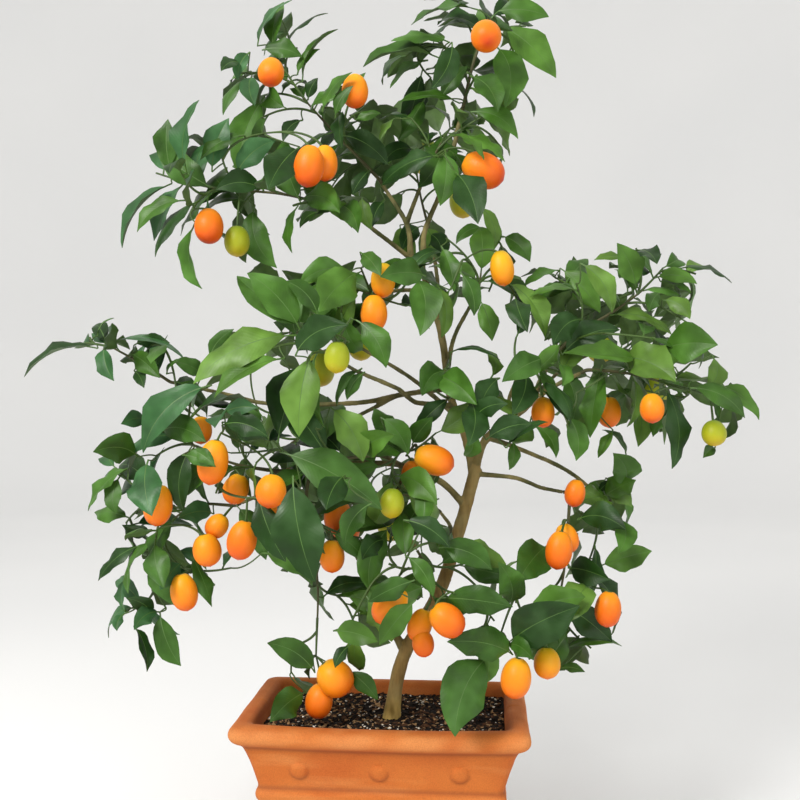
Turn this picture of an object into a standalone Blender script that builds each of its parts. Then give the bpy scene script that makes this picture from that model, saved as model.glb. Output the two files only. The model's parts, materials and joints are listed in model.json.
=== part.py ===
"""A kumquat tree in a moulded terracotta pot, at its real size.

Metres, +Z up. The origin is the centre of the pot's flat underside, X runs along the pot's long
side, and the pot's front is towards -Y. The pot, its soil, the trunk, each bough and each mass of
foliage are separate objects, 0.3 mm clear of each other.
"""

import math
import random
from collections import namedtuple

import bmesh
import bpy
from mathutils import Matrix, Vector
from mathutils.bvhtree import BVHTree

MM = 0.001
CLEAR = 0.3 * MM

# The pot, in millimetres. A moulding's points are (below the rim's top, inside the rim's outline).
POT_HEIGHT = 175
RIM_LONG = 282
RIM_SHORT = 182
CORNER = 10
CORNER_STEPS = 3
POT_OUTSIDE = (
    (175, 35), (154, 34.5), (150, 39), (81, 28.6), (78, 25.2), (75, 22.8), (71, 21.8),
    (67, 22.6), (64, 25), (53, 22), (43, 19.2), (34, 16.2), (27, 13.8), (21, 11), (18.5, 7),
    (16.5, 3.2), (13, 0.9), (9, 0), (5, 1), (2, 3.6), (0, 8.5), (0, 16.5), (1.5, 19.5), (5, 21),
)
POT_INSIDE = ((20, 23), (52, 37), (160, 50))
STUD_RADIUS = 8.2
STUD_RISE = 3.6
STUD_DOWN = 44
STUD_INSET = 19.6
STUD_GAP = 75
NECK_LEAN = math.radians(17.4)
DRAIN_RADIUS = 7
DRAIN_ACROSS = 60
SOIL_BELOW_RIM = 16
SOIL_Z = (POT_HEIGHT - SOIL_BELOW_RIM) * MM

# The plan is drawn as seen from the front: millimetres across and up from the trunk's foot, measured
# against the trunk, and millimetres nearer to the eye than the trunk.
FOOT_X = 5 * MM
TURN = math.radians(4.6)
EYE_DISTANCE = 1.0
EYE_ACROSS = 9 * MM
EYE_UP = 318 * MM
RIGHT = Vector((math.cos(TURN), math.sin(TURN), 0))
NEARER = Vector((math.sin(TURN), -math.cos(TURN), 0))
UP = Vector((0, 0, 1))
FOOT = Vector((FOOT_X, 0, SOIL_Z))

Limb = namedtuple("Limb", "name parent thick thin places")
Mass = namedtuple("Mass", "name limb stem tips leaf fruits")
Fruit = namedtuple("Fruit", "across up near wide long lean swing ripe")

LIMBS = (
    Limb("trunk", None, 14, 12.5,
         ((0, -4, 0), (2, 12, 0), (13, 63, 0), (49, 128, 0), (69, 191, 0), (85, 250, 0))),
    Limb("leader", "trunk", 9, 6.4,
         ((83, 243, 0), (74, 282, -4), (59, 324, -6), (50, 385, -8), (30, 452, -10))),
    Limb("right_bough", "trunk", 8.6, 5.2,
         ((83, 243, 0), (93, 276, 5), (119, 299, 15), (139, 316, 20), (157, 355, 30))),
    Limb("left_bough", "trunk", 7, 4.6,
         ((72, 212, 0), (50, 236, 10), (9, 253, 30), (-60, 254, 55), (-105, 248, 60))),
    Limb("low_left_bough", "trunk", 8.6, 4.2,
         ((14, 66, 0), (-10, 110, -8), (-24, 142, -14), (-49, 198, -10), (-65, 235, 5))),
    Limb("right_low_bough", "trunk", 5.2, 3.8,
         ((84, 244, 4), (125, 240, 20), (148, 231, 32), (172, 226, 40))),
    Limb("right_back_bough", "right_bough", 5.4, 3.6,
         ((98, 280, 6), (131, 268, -20), (177, 247, -35), (213, 218, -40))),
    Limb("right_arching_bough", "right_bough", 6, 4, ((132, 309, 18), (160, 330, 35), (190, 345, 45))),
    Limb("right_inner_bough", "right_bough", 5, 3.6, ((120, 300, 15), (118, 318, 35), (124, 335, 50))),
    Limb("top_bough", "leader", 5.8, 4.2,
         ((31, 448, -10), (34, 488, -8), (47, 519, -5), (61, 565, 0), (72, 610, 0))),
    Limb("upper_left_bough", "leader", 5.6, 4, ((31, 450, -10), (9, 468, 0), (-34, 501, 25))),
    Limb("high_left_bough", "upper_left_bough", 6, 4, ((20, 460, -6), (16, 493, -12), (-9, 534, -15))),
    Limb("upper_middle_bough", "high_left_bough", 5, 3.6,
         ((15, 494, -13), (25, 520, 4), (35, 545, 15))),
    Limb("centre_bough", "leader", 5, 3.6, ((38, 425, -9), (15, 428, 15), (-10, 425, 40))),
    Limb("centre_right_bough", "leader", 5.4, 3.6, ((55, 345, -7), (64, 383, 12), (84, 420, 22))),
    Limb("centre_left_bough", "leader", 5.6, 4,
         ((62, 312, -6), (24, 316, 25), (9, 328, 50), (-30, 345, 90))),
    Limb("fork_bough", "leader", 4.6, 3.4, ((60, 322, -6), (66, 326, 25), (62, 322, 50))),
    Limb("far_left_bough", "leader", 6, 3.6,
         ((57, 330, -6), (9, 323, -25), (-35, 315, -30), (-118, 314, -20), (-161, 323, -10),
          (-215, 335, 0))),
    Limb("left_inner_bough", "far_left_bough", 4.6, 3.6,
         ((5, 322, -26), (-36, 301, -40), (-80, 285, -45))),
    Limb("left_front_bough", "left_bough", 5, 3.6, ((9, 253, 30), (-8, 262, 65), (-25, 262, 95))),
    Limb("middle_bough", "left_bough", 4.4, 3.2, ((34, 247, 20), (32, 262, 32), (26, 270, 45))),
    Limb("front_hanging_bough", "left_bough", 4.4, 3,
         ((20, 250, 25), (8, 232, 50), (10, 200, 66), (26, 168, 74))),
    Limb("left_hanging_bough", "left_bough", 5, 3.6,
         ((-70, 253, 56), (-110, 232, 52), (-150, 215, 50))),
    Limb("back_upper_bough", "leader", 5.6, 3.8, ((46, 398, -8), (46, 440, -50), (40, 480, -85))),
    Limb("back_left_bough", "leader", 5.6, 3.8, ((66, 300, -5), (20, 340, -65), (-30, 370, -110))),
    Limb("back_right_bough", "right_bough", 5.6, 3.8,
         ((108, 291, 10), (140, 320, -45), (172, 350, -95))),
    Limb("back_low_bough", "trunk", 5.6, 3.8, ((62, 165, 0), (60, 190, -50), (50, 205, -90))),
)

MASSES = (
    Mass("top_foliage", "top_bough", ((83, 657, 5), (100, 700, 12)),
         ((45, 678, 25), (135, 692, 20), (15, 662, 5), (88, 690, -60), (100, 655, 60), (60, 722, -10)), 58,
         (Fruit(95, 682, 75, 31, 35, 0, 50, 1.0),)),
    Mass("upper_middle_foliage", "upper_middle_bough", ((50, 575, 20),),
         ((20, 600, 15), (-5, 578, 45), (100, 605, 30), (85, 565, 45)), 56,
         (Fruit(92, 548, 45, 34, 45, -62, 0, 0.95),)),
    Mass("high_left_foliage", "high_left_bough", ((-59, 588, -5), (-88, 620, 5)),
         ((-118, 668, 10), (-90, 672, -25), (-150, 645, 25), (-35, 630, 15), (-14, 605, -30)), 60,
         (Fruit(-120, 646, 55, 26, 30, 0, 25, 1.0), Fruit(-36, 627, 45, 26, 35, 0, 10, 0.95))),
    Mass("upper_left_foliage", "upper_left_bough", ((-98, 522, 40), (-141, 527, 48), (-179, 530, 50)),
         ((-235, 545, 45), (-205, 580, 30), (-170, 565, 70), (-125, 585, 60), (-200, 505, 75),
          (-115, 500, 85)), 62,
         (Fruit(-82, 552, 85, 30, 42, 6, 0, 1.0), Fruit(-66, 555, 65, 26, 36, 0, 0, 1.0),
          Fruit(-182, 492, 80, 29, 36, 0, 10, 0.95), Fruit(-154, 477, 60, 26, 31, 0, 0, 0.25))),
    Mass("centre_foliage", "centre_bough", ((-25, 425, 55),),
         ((-60, 440, 60), (-30, 450, 70), (15, 412, 70), (-50, 405, 85)), 62,
         (Fruit(-17, 405, 82, 27, 37, 0, 0, 1.0), Fruit(-8, 438, 78, 25, 35, 0, 0, 0.6))),
    Mass("centre_right_foliage", "centre_right_bough", ((90, 445, 24),),
         ((55, 480, 30), (70, 455, 60), (118, 440, 45), (125, 465, 10)), 60,
         (Fruit(111, 450, 62, 24, 36, -8, 0, 0.6),)),
    Mass("centre_left_foliage", "centre_left_bough", ((-60, 362, 115), (-90, 378, 130)),
         ((-80, 405, 140), (-115, 405, 145), (-40, 400, 125), (-130, 365, 150)), 86,
         (Fruit(-54, 361, 170, 25, 32, 4, 0, 0.2),)),
    Mass("far_left_foliage", "far_left_bough", ((-245, 352, 4), (-285, 374, 8)),
         ((-330, 375, 10), (-300, 392, -10), (-240, 385, 15), (-225, 370, 30)), 48,
         ()),
    Mass("left_inner_foliage", "left_inner_bough", ((-100, 275, -40),),
         ((-130, 290, -30), (-120, 240, -40), (-70, 245, -20), (-150, 300, -15)), 62,
         (Fruit(-53, 201, 10, 28, 36, 0, 0, 1.0), Fruit(-121, 198, 20, 28, 34, 0, 0, 0.7))),
    Mass("left_front_foliage", "left_front_bough", ((-60, 258, 115), (-95, 255, 125)),
         ((-75, 215, 145), (-110, 235, 140), (-40, 240, 150), (-120, 280, 120)), 86,
         ()),
    Mass("middle_foliage", "middle_bough", ((15, 262, 62),),
         ((45, 285, 60), (-5, 275, 75), (0, 240, 75), (50, 262, 50)), 54,
         (Fruit(43, 258, 80, 31, 41, -72, 0, 1.0), Fruit(21, 243, 60, 22, 30, 0, 0, 1.0),
          Fruit(1, 215, 100, 25, 30, 5, 10, 0.15))),
    Mass("fork_foliage", "fork_bough", ((55, 318, 70),),
         ((35, 335, 70), (75, 335, 85), (95, 315, 75), (45, 300, 95)), 58,
         ()),
    Mass("left_foliage", "left_bough", ((-148, 252, 70), (-180, 262, 75)),
         ((-215, 285, 70), (-190, 312, 50), (-150, 305, 85), (-235, 262, 80)), 64,
         (Fruit(-178, 256, 130, 30, 46, 10, 0, 0.95), Fruit(-155, 229, 85, 26, 31, 20, 0, 1.0),
          Fruit(-120, 227, 145, 30, 34, 8, 15, 0.95), Fruit(-149, 178, 125, 29, 40, 12, 0, 0.95),
          Fruit(-190, 288, 60, 22, 28, 0, 0, 1.0))),
    Mass("left_low_foliage", "left_hanging_bough", ((-195, 213, 45), (-222, 195, 45)),
         ((-275, 250, 40), (-290, 225, 55), (-265, 195, 20), (-245, 160, 50), (-225, 110, 40),
          (-200, 145, 70)), 58,
         (Fruit(-233, 213, 95, 29, 42, 6, 0, 0.95), Fruit(-184, 168, 100, 28, 33, -12, 0, 1.0),
          Fruit(-174, 192, 90, 23, 26, 35, 0, 1.0), Fruit(-207, 126, 85, 27, 38, -10, 0, 0.95))),
    Mass("low_left_foliage", "low_left_bough",
         ((-82, 238, 24), (-84, 205, 34), (-76, 160, 32), (-73, 125, 30), (-74, 92, 30)),
         ((-75, 62, 28), (-38, 122, 30), (-35, 85, 35), (-105, 72, 25), (-50, 155, -40)), 56,
         (Fruit(-56, 40, 40, 35, 39, -38, 0, 1.0), Fruit(-72, 17, 34, 27, 35, 8, 0, 0.85),
          Fruit(-59, 162, 60, 25, 33, 0, 0, 1.0))),
    Mass("lower_middle_foliage", "front_hanging_bough", ((38, 140, 80), (40, 118, 88)),
         ((-20, 165, 90), (-25, 125, 95), (75, 155, 70), (95, 120, 80), (10, 130, 130),
          (65, 125, 125)), 64,
         (Fruit(-1, 113, 118, 31, 43, 40, 0, 0.85), Fruit(29, 93, 95, 24, 34, 20, 0, 1.0),
          Fruit(56, 98, 125, 32, 39, -48, 0, 1.0), Fruit(32, 75, 100, 22, 28, -10, 0, 1.0))),
    Mass("right_foliage", "right_bough", ((193, 388, 35), (228, 410, 35), (252, 428, 30)),
         ((272, 450, 20), (245, 470, 35), (315, 440, 25), (290, 400, 55), (185, 435, 45),
          (150, 405, 60), (215, 385, 75)), 57,
         ()),
    Mass("right_arching_foliage", "right_arching_bough", ((235, 345, 50), (275, 335, 52)),
         ((335, 318, 45), (350, 330, 20), (300, 355, 60), (250, 365, 75), (215, 340, 85)), 64,
         (Fruit(218, 306, 25, 24, 31, 0, 0, 1.0), Fruit(261, 310, 90, 24, 30, 0, 10, 0.95),
          Fruit(323, 285, 70, 25, 26, 0, 15, 0.2))),
    Mass("right_inner_foliage", "right_inner_bough", ((134, 348, 60),),
         ((110, 360, 70), (160, 355, 80), (150, 320, 85), (115, 325, 95)), 60,
         (Fruit(152, 306, 66, 23, 31, 0, 0, 1.0),)),
    Mass("right_back_foliage", "right_back_bough", ((222, 225, -38),),
         ((236, 262, -35), (238, 225, -20), (215, 240, -75), (252, 212, -55), (215, 262, -20)), 50,
         ()),
    Mass("lower_right_foliage", "right_low_bough", ((176, 180, 42), (172, 140, 44), (165, 105, 48)),
         ((235, 185, 45), (255, 150, 40), (130, 165, 60), (210, 198, 20), (235, 100, 35),
          (125, 115, 80), (110, 85, 90)), 66,
         (Fruit(184, 225, 55, 21, 28, 10, 0, 1.0), Fruit(168, 168, 90, 27, 39, 8, 0, 1.0),
          Fruit(176, 180, 66, 23, 30, -20, 0, 1.0), Fruit(217, 109, 80, 26, 36, 6, 0, 0.95),
          Fruit(125, 40, 100, 31, 41, 8, 0, 1.0), Fruit(156, 55, 85, 27, 31, 0, 10, 0.35))),
    Mass("back_upper_foliage", "back_upper_bough", ((30, 520, -120), (25, 550, -140)),
         ((-25, 560, -140), (60, 590, -150), (70, 540, -130), (0, 520, -170)), 62,
         (Fruit(36, 560, -170, 28, 36, 0, -10, 0.9), Fruit(72, 518, -160, 28, 36, 0, 0, 1.0))),
    Mass("back_left_foliage", "back_left_bough", ((-70, 385, -140), (-110, 385, -150)),
         ((-150, 365, -150), (-130, 300, -170), (-60, 420, -160), (-110, 360, -200)), 64,
         (Fruit(-70, 350, -175, 28, 37, 0, 0, 1.0), Fruit(-95, 318, -190, 28, 36, 0, 0, 0.9),
          Fruit(-30, 375, -170, 27, 35, 0, 0, 1.0))),
    Mass("back_right_foliage", "back_right_bough", ((205, 365, -130), (235, 368, -150)),
         ((285, 350, -140), (260, 400, -150), (200, 400, -150), (240, 330, -180)), 62,
         (Fruit(209, 373, -165, 28, 36, 0, 0, 1.0), Fruit(262, 325, -160, 28, 36, 0, 0, 0.9))),
    Mass("back_low_foliage", "back_low_bough", ((20, 222, -125), (-15, 222, -145)),
         ((-60, 200, -150), (-40, 250, -160), (0, 190, -170), (50, 220, -150)), 62,
         (Fruit(0, 195, -160, 28, 36, 0, 0, 1.0), Fruit(-45, 190, -150, 28, 36, 0, 0, 0.95))),
)

# Openings in the crown that show sky from the front: across, up, half width, half height.
OPEN_SKY = (
    (-265, 432, 85, 32), (-72, 474, 42, 18), (27, 516, 14, 20), (200, 590, 62, 85), (160, 478, 36, 18),
    (75, 388, 17, 26), (25, 368, 15, 20), (-15, 333, 40, 12), (-135, 335, 34, 12), (125, 212, 42, 32),
    (-130, 95, 52, 42), (-52, 146, 20, 13), (-58, 75, 16, 14), (62, 141, 15, 9), (40, 62, 36, 9),
    (-300, 325, 60, 34), (-62, 665, 34, 26), (-240, 640, 62, 36), (160, 410, 6, 6), (205, 268, 12, 16),
    (285, 200, 40, 70), (-330, 160, 38, 60), (0, 690, 26, 12), (280, 85, 40, 62), (140, 135, 16, 28),
)


def place(across, up, near=0.0):
    """The point of the plan in space: what lies nearer to the eye is smaller than it looks."""
    shrink = 1 - near * MM / EYE_DISTANCE
    sideways = EYE_ACROSS + (across * MM - EYE_ACROSS) * shrink
    height = EYE_UP + (up * MM - EYE_UP) * shrink
    return FOOT + RIGHT * sideways + NEARER * near * MM + UP * height


def seen(point):
    """The point's across and up on the plan, in millimetres."""
    offset = point - FOOT
    grow = 1 / (1 - offset.dot(NEARER) / EYE_DISTANCE)
    across = EYE_ACROSS + (offset.dot(RIGHT) - EYE_ACROSS) * grow
    up = EYE_UP + (offset.z - EYE_UP) * grow
    return across / MM, up / MM


def in_open_sky(point):
    across, up = seen(point)
    return any(
        ((across - middle) / half_width) ** 2 + ((up - height) / half_height) ** 2 < 1
        for middle, height, half_width, half_height in OPEN_SKY
    )


# Growth, the same for every limb, shoot and leaf.
SEED = 7
LIMB_STEP = 30 * MM
SHOOT_SPANS = 2
FLARE = 2.6 * MM
FLARE_HEIGHT = 13 * MM
STEM_SHARE = 0.94
SHOOT_THICK = 3.2
SHOOT_THIN = 2.2
STALK_THICK = 2.4
FORK_ANGLE = math.radians(40)
GOLDEN_TURN = math.radians(137.5)
LEAF_GAP = 43 * MM
LEAF_GROWN = 1.12
TIP_LEAVES = 3
LEAFY_STEM = 0.62
LEAFY_SHOOT = 0.85
LEAF_TRIES = 4
SOIL_ROOM = 6 * MM
SIGHT_LENGTH = 150 * MM
SIGHT_SHARE = 0.3

Branch = namedtuple("Branch", "name path radii")
Berry = namedtuple("Berry", "mass middle axis wide long ripe stalk")
Leaf = namedtuple("Leaf", "mass base heading face length width droop twist")


def smooth_path(places, gap):
    """Points about a gap apart on a smooth curve through the places."""
    ends = [2 * places[0] - places[1], *places, 2 * places[-1] - places[-2]]
    path = []
    for before, start, end, after in zip(ends, ends[1:], ends[2:], ends[3:]):
        steps = max(1, round((end - start).length / gap))
        for step in range(steps):
            t = step / steps
            path.append(
                start
                + (end - before) * (t / 2)
                + (2 * before - 5 * start + 4 * end - after) * (t * t / 2)
                + (3 * start - before - 3 * end + after) * (t**3 / 2)
            )
    return [*path, places[-1]]


def lengths_along(path):
    lengths = [0.0]
    for start, end in zip(path, path[1:]):
        lengths.append(lengths[-1] + (end - start).length)
    return lengths


def point_along(path, length):
    """The point at a length along the path, and the way that the path goes there."""
    lengths = lengths_along(path)
    for start, end, before, after in zip(path, path[1:], lengths, lengths[1:]):
        if length <= after:
            break
    return start.lerp(end, (length - before) / (after - before)), (end - start).normalized()


def nearest_on(path, point):
    spots = []
    for start, end in zip(path, path[1:]):
        span = end - start
        share = (point - start).dot(span) / span.length_squared
        spots.append(start + span * min(max(share, 0), 1))
    return min(spots, key=lambda spot: (spot - point).length)


def tapered(path, thick, thin):
    """A radius for each point of the path, from its two thicknesses in millimetres."""
    lengths = lengths_along(path)
    return [(thick + (thin - thick) * length / lengths[-1]) * MM / 2 for length in lengths]


def loft(rings, tip=None):
    """A closed skin over the rings, with its points and faces. It ends in a face, or at a tip."""
    size = len(rings[0])
    points = [point for ring in rings for point in ring]
    faces = [tuple(reversed(range(size)))]
    for ring in range(len(rings) - 1):
        for corner in range(size):
            here = ring * size + corner
            after = ring * size + (corner + 1) % size
            faces.append((here, after, after + size, here + size))
    last = len(points) - size
    if tip is None:
        faces.append(tuple(range(last, last + size)))
    else:
        points.append(tip)
        faces += [(last + corner, last + (corner + 1) % size, last + size) for corner in range(size)]
    return points, faces


def tube(path, radii, sides):
    rings = []
    heading = path[1] - path[0]
    side = heading.cross(UP if abs(heading.normalized().z) < 0.9 else RIGHT)
    for index, middle in enumerate(path):
        heading = (path[min(index + 1, len(path) - 1)] - path[max(index - 1, 0)]).normalized()
        side = (side - heading * side.dot(heading)).normalized()
        other = heading.cross(side)
        turns = [math.tau * corner / sides for corner in range(sides)]
        rays = [side * math.cos(turn) + other * math.sin(turn) for turn in turns]
        rings.append([middle + ray * radii[index] for ray in rays])
    return loft(rings)


def midrib(leaf, share):
    """The point at a share of the leaf's arched length, and the ways along, across and up there."""
    bend = leaf.droop * share
    curve = leaf.length / leaf.droop
    point = leaf.base + leaf.heading * (curve * math.sin(bend))
    point -= leaf.face * (curve * (1 - math.cos(bend)))
    along = leaf.heading * math.cos(bend) - leaf.face * math.sin(bend)
    up = leaf.face * math.cos(bend) + leaf.heading * math.sin(bend)
    up.rotate(Matrix.Rotation(leaf.twist * share, 3, along))
    return point, along, along.cross(up), up


def leaf_room(leaf, start, end):
    """The space that a stretch of the leaf needs, a little more than the leaf fills."""
    rings = []
    for share in (start, start + (end - start) * 0.4, start + (end - start) * 0.75, end):
        point, _, across, up = midrib(leaf, share)
        half = 0.56 * leaf.width * math.sin(math.pi * min(max(share, 0.06), 0.97)) ** 0.7 + 0.6 * MM
        under, over = point - up * 1.6 * MM, point + up * 1.4 * MM
        rings.append([point + across * half, under, point - across * half, over])
    return loft(rings)


def berry_room(berry, spare):
    """The space of a fruit, as a tube along its axis whose radii follow an ellipse."""
    steps = [-0.98, -0.8, -0.4, 0, 0.4, 0.8, 0.98]
    path = [berry.middle + berry.axis * (step * (berry.long / 2 + spare)) for step in steps]
    radii = [(berry.wide / 2 + spare) * math.sqrt(1 - step * step) for step in steps]
    return tube(path, radii, 8)


class Space:
    """The pieces that have their places, to test whether a new piece would touch one."""

    def __init__(self):
        self.taken = []

    @staticmethod
    def ball(points):
        middle = sum(points, Vector()) / len(points)
        return middle, max((point - middle).length for point in points)

    def add(self, kind, owner, shape):
        self.taken.append((kind, owner, *self.ball(shape[0]), BVHTree.FromPolygons(*shape)))

    def touches(self, shape, matters):
        """Whether the shape touches a piece whose kind and owner matter."""
        middle, reach = self.ball(shape[0])
        tree = None
        for kind, owner, other_middle, other_reach, other_tree in self.taken:
            if (other_middle - middle).length > other_reach + reach or not matters(kind, owner):
                continue
            tree = tree or BVHTree.FromPolygons(*shape)
            if tree.overlap(other_tree):
                return True
        return False


def grow_limbs(space):
    """The trunk and the boughs, by name, each from its parent's middle line."""
    limbs = {}
    for limb in LIMBS:
        places = [place(*spot) for spot in limb.places]
        if limb.parent:
            places[0] = nearest_on(limbs[limb.parent].path, places[0])
        path = smooth_path(places, LIMB_STEP)
        radii = tapered(path, limb.thick, limb.thin)
        if not limb.parent:
            heights = [max(0, point.z - SOIL_Z) for point in path]
            flares = [FLARE * math.exp(-height / FLARE_HEIGHT) for height in heights]
            radii = [radius + flare for radius, flare in zip(radii, flares)]
        limbs[limb.name] = Branch(limb.name, path, radii)
        space.add("limb", limb.name, tube(path, [radius + CLEAR for radius in radii], 6))
    return limbs


def stem_of(mass, limb):
    """The mass's stem, which carries on from its bough's tip."""
    heading = (limb.path[-1] - limb.path[-2]).normalized()
    start = limb.path[-1] + heading * CLEAR
    places = [start, start + heading * 6 * MM, *(place(*spot) for spot in mass.stem)]
    path = smooth_path(places, LIMB_STEP)
    thick = limb.radii[-1] * 2 / MM * STEM_SHARE
    return Branch(mass.name, path, tapered(path, thick, SHOOT_THIN))


def fork_for(tip, branches):
    """Where a shoot for this tip leaves the mass's branches: near it, and at an easy angle."""
    best = None
    for branch in branches:
        for start, end in zip(branch.path[1:], branch.path[2:]):
            heading = (end - start).normalized()
            spot = start.lerp(end, 0.5)
            off = (tip - spot).angle(heading) - FORK_ANGLE
            cost = (tip - spot).length * (1 + off * off)
            if best is None or cost < best[0]:
                best = cost, spot, heading
    return best[1:]


def bowed(start, heading, end, sideways):
    """A path that leaves along its heading and bends to its end."""
    reach = (end - start).length
    bend = start + heading * (reach * 0.45) + sideways * reach
    shares = [step / SHOOT_SPANS for step in range(SHOOT_SPANS + 1)]
    return [start * (1 - t) ** 2 + bend * (2 * t * (1 - t)) + end * t * t for t in shares]


def clear_path(mass, start, heading, end, space, own_kinds):
    """The first bow of a path from start to end that touches nothing, or None."""
    way = (end - start).normalized()
    leave = (heading + way).normalized()
    side = way.cross(UP).normalized()
    over = side.cross(way)
    for size in (0, 0.16, 0.3):
        for turn in range(6 if size else 1):
            angle = math.tau * turn / 6
            path = bowed(start, leave, end, (side * math.cos(angle) + over * math.sin(angle)) * size)
            reach = (end - start).length
            rest = [point_along(path, share * reach)[0] for share in (0.16, 0.5, 0.8, 0.98)]
            ahead = tube(rest, [SHOOT_THICK * MM / 2 + CLEAR] * 4, 6)
            whole = tube(path, [SHOOT_THICK * MM / 2 + CLEAR] * len(path), 6)
            if space.touches(ahead, lambda kind, owner: owner == mass and kind in own_kinds):
                continue
            if not space.touches(whole, lambda kind, owner: owner != mass and kind != "sight"):
                return path
    return None


def berry_of(mass, fruit):
    lean, swing = math.radians(fruit.lean), math.radians(fruit.swing)
    upright = UP * math.cos(swing) - NEARER * math.sin(swing)
    axis = upright * math.cos(lean) + RIGHT * math.sin(lean)
    middle = place(fruit.across, fruit.up, fruit.near)
    return Berry(mass.name, middle, axis, fruit.wide * MM, fruit.long * MM, fruit.ripe, None)


def grow_fruit(space):
    """The fruits, each with the space it fills and the line along which the front sees it."""
    berries = [berry_of(mass, fruit) for mass in MASSES for fruit in mass.fruits]
    for berry in berries:
        space.add("fruit", berry.mass, berry_room(berry, CLEAR * 2))
        start = berry.middle + NEARER * berry.wide / 2
        sight = [start, start + NEARER * SIGHT_LENGTH]
        space.add("sight", berry.mass, tube(sight, [berry.wide * SIGHT_SHARE] * 2, 6))
    return berries


def grow_shoots(limbs, space):
    """Each mass's branches: its stem, then a shoot for each tip."""
    branches = {}
    for mass in MASSES:
        stem = stem_of(mass, limbs[mass.limb])
        branches[mass.name] = [stem]
        space.add("stem", mass.name, tube(stem.path, [radius + CLEAR for radius in stem.radii], 6))
    for mass in MASSES:
        for spot in mass.tips:
            tip = place(*spot)
            start, heading = fork_for(tip, branches[mass.name])
            path = clear_path(mass.name, start, heading, tip, space, ("fruit", "shoot"))
            if path is None:
                continue
            shoot = Branch(mass.name, path, tapered(path, SHOOT_THICK, SHOOT_THIN))
            branches[mass.name].append(shoot)
            space.add("shoot", mass.name, tube(path, [radius + CLEAR for radius in shoot.radii], 6))
    return branches


def grow_stalks(berries, branches, space):
    """The fruits again, each with a stalk from its stem end to its mass's nearest branch."""
    stalked = []
    for berry in berries:
        top = berry.middle + berry.axis * berry.long / 2
        spots = []
        for branch in branches[berry.mass]:
            for start, end in zip(branch.path[1:], branch.path[2:]):
                spot = nearest_on([start, end], top)
                below = max(0, top.z - spot.z)
                spots.append(((spot - top).length + 1.5 * below, spot))
        spots.sort(key=lambda choice: choice[0])
        for _, spot in spots[:6]:
            root = berry.middle + berry.axis * berry.long * 0.4
            stalk = clear_path(berry.mass, root, berry.axis, spot, space, ())
            if stalk:
                shape = tube(stalk[1:], [STALK_THICK * MM / 2] * SHOOT_SPANS, 4)
                space.add("stalk", berry.mass, shape)
                stalked.append(berry._replace(stalk=stalk))
                break
    return stalked


def leaf_at(mass, base, heading, turn, at_tip, rng):
    """A leaf whose upper face turns to the light and whose blade arches down."""
    first = heading.cross(UP if abs(heading.z) < 0.9 else RIGHT).normalized()
    second = heading.cross(first)
    lean = rng.uniform(0.35, 0.6) if at_tip else rng.uniform(0.85, 1.15)
    aside = first * math.cos(turn) + second * math.sin(turn)
    way = heading * math.cos(lean) + aside * math.sin(lean)
    way = (way - UP * rng.uniform(0.05, 0.3)).normalized()
    outward = Vector((base.x - FOOT_X, base.y, 0)).normalized()
    behind = seen_nearness(base) < -0.06
    light = UP * 0.6 + outward * 0.5 + NEARER * (-0.5 if behind else 0.45)
    light += Vector([rng.uniform(-0.3, 0.3) for _ in range(3)])
    face = (light - way * light.dot(way)).normalized()
    length = mass.leaf * MM * LEAF_GROWN * rng.uniform(0.8, 1.14) * (0.85 if at_tip else 1)
    width = length * rng.uniform(0.38, 0.45)
    droop, twist = rng.uniform(0.35, 1.25), rng.uniform(-0.4, 0.4)
    return Leaf(mass.name, base, way, face, length, width, droop, twist)


def seen_nearness(point):
    return (point - FOOT).dot(NEARER)


def has_room(leaf, space):
    """Whether the leaf shuts no open sky, clears the soil and touches only its own mass's twigs."""
    samples = [midrib(leaf, share) for share in (0.45, 0.75, 1)]
    sides = [across * leaf.width * 0.4 for _, _, across, _ in samples]
    outline = [sample[0] + side * step for sample, side in zip(samples, sides) for step in (-1, 0, 1)]
    if any(in_open_sky(point) for point in outline):
        return False
    if min(point.z for point in outline) < SOIL_Z + SOIL_ROOM:
        return False
    if space.touches(leaf_room(leaf, 0.16, 1.03), lambda kind, owner: True):
        return False
    root = leaf_room(leaf, 0, 0.3)
    return not space.touches(root, lambda kind, owner: owner != leaf.mass and kind != "sight")


def grow_leaves(branches, space):
    """The leaves, set round each branch from its tip back, each where it has room."""
    leaves = []
    for order, mass in enumerate(MASSES):
        rng = random.Random(SEED * 1000 + order)
        for branch in branches[mass.name]:
            is_stem = branch is branches[mass.name][0]
            total = lengths_along(branch.path)[-1]
            leafy = total * (LEAFY_STEM if is_stem else LEAFY_SHOOT)
            turn = rng.uniform(0, math.tau)
            back = 0.5 * MM
            number = 0
            while back < leafy:
                base, heading = point_along(branch.path, total - back)
                for attempt in range(LEAF_TRIES):
                    spin = turn + attempt * math.radians(47)
                    leaf = leaf_at(mass, base, heading, spin, number == 0, rng)
                    if has_room(leaf, space):
                        leaves.append(leaf)
                        space.add("leaf", mass.name, leaf_room(leaf, 0.16, 1.0))
                        break
                turn += GOLDEN_TURN + rng.uniform(-0.3, 0.3)
                number += 1
                back += LEAF_GAP * (0.5 if number < TIP_LEAVES else 1) * rng.uniform(0.85, 1.15)
    return leaves


def grow_tree():
    """The limbs, the masses' branches, the fruits and the leaves."""
    space = Space()
    limbs = grow_limbs(space)
    berries = grow_fruit(space)
    branches = grow_shoots(limbs, space)
    berries = grow_stalks(berries, branches, space)
    return limbs, branches, berries, grow_leaves(branches, space)


# The solids.
TRUNK_ROUNDNESS = 2
BOUGH_ROUNDNESS = 1
STEM_SIDES = 4
TWIG_SIDES = 3
TWIG_ROOT = 0.6
EGG_SIDES = 6
EGG_RINGS = 4
LEAF_THICK = 2.4 * MM
LEAF_WIDEN = 1.12
LEAF_WIDEST = 0.45
SMOOTH_ANGLE = math.radians(42)


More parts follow.
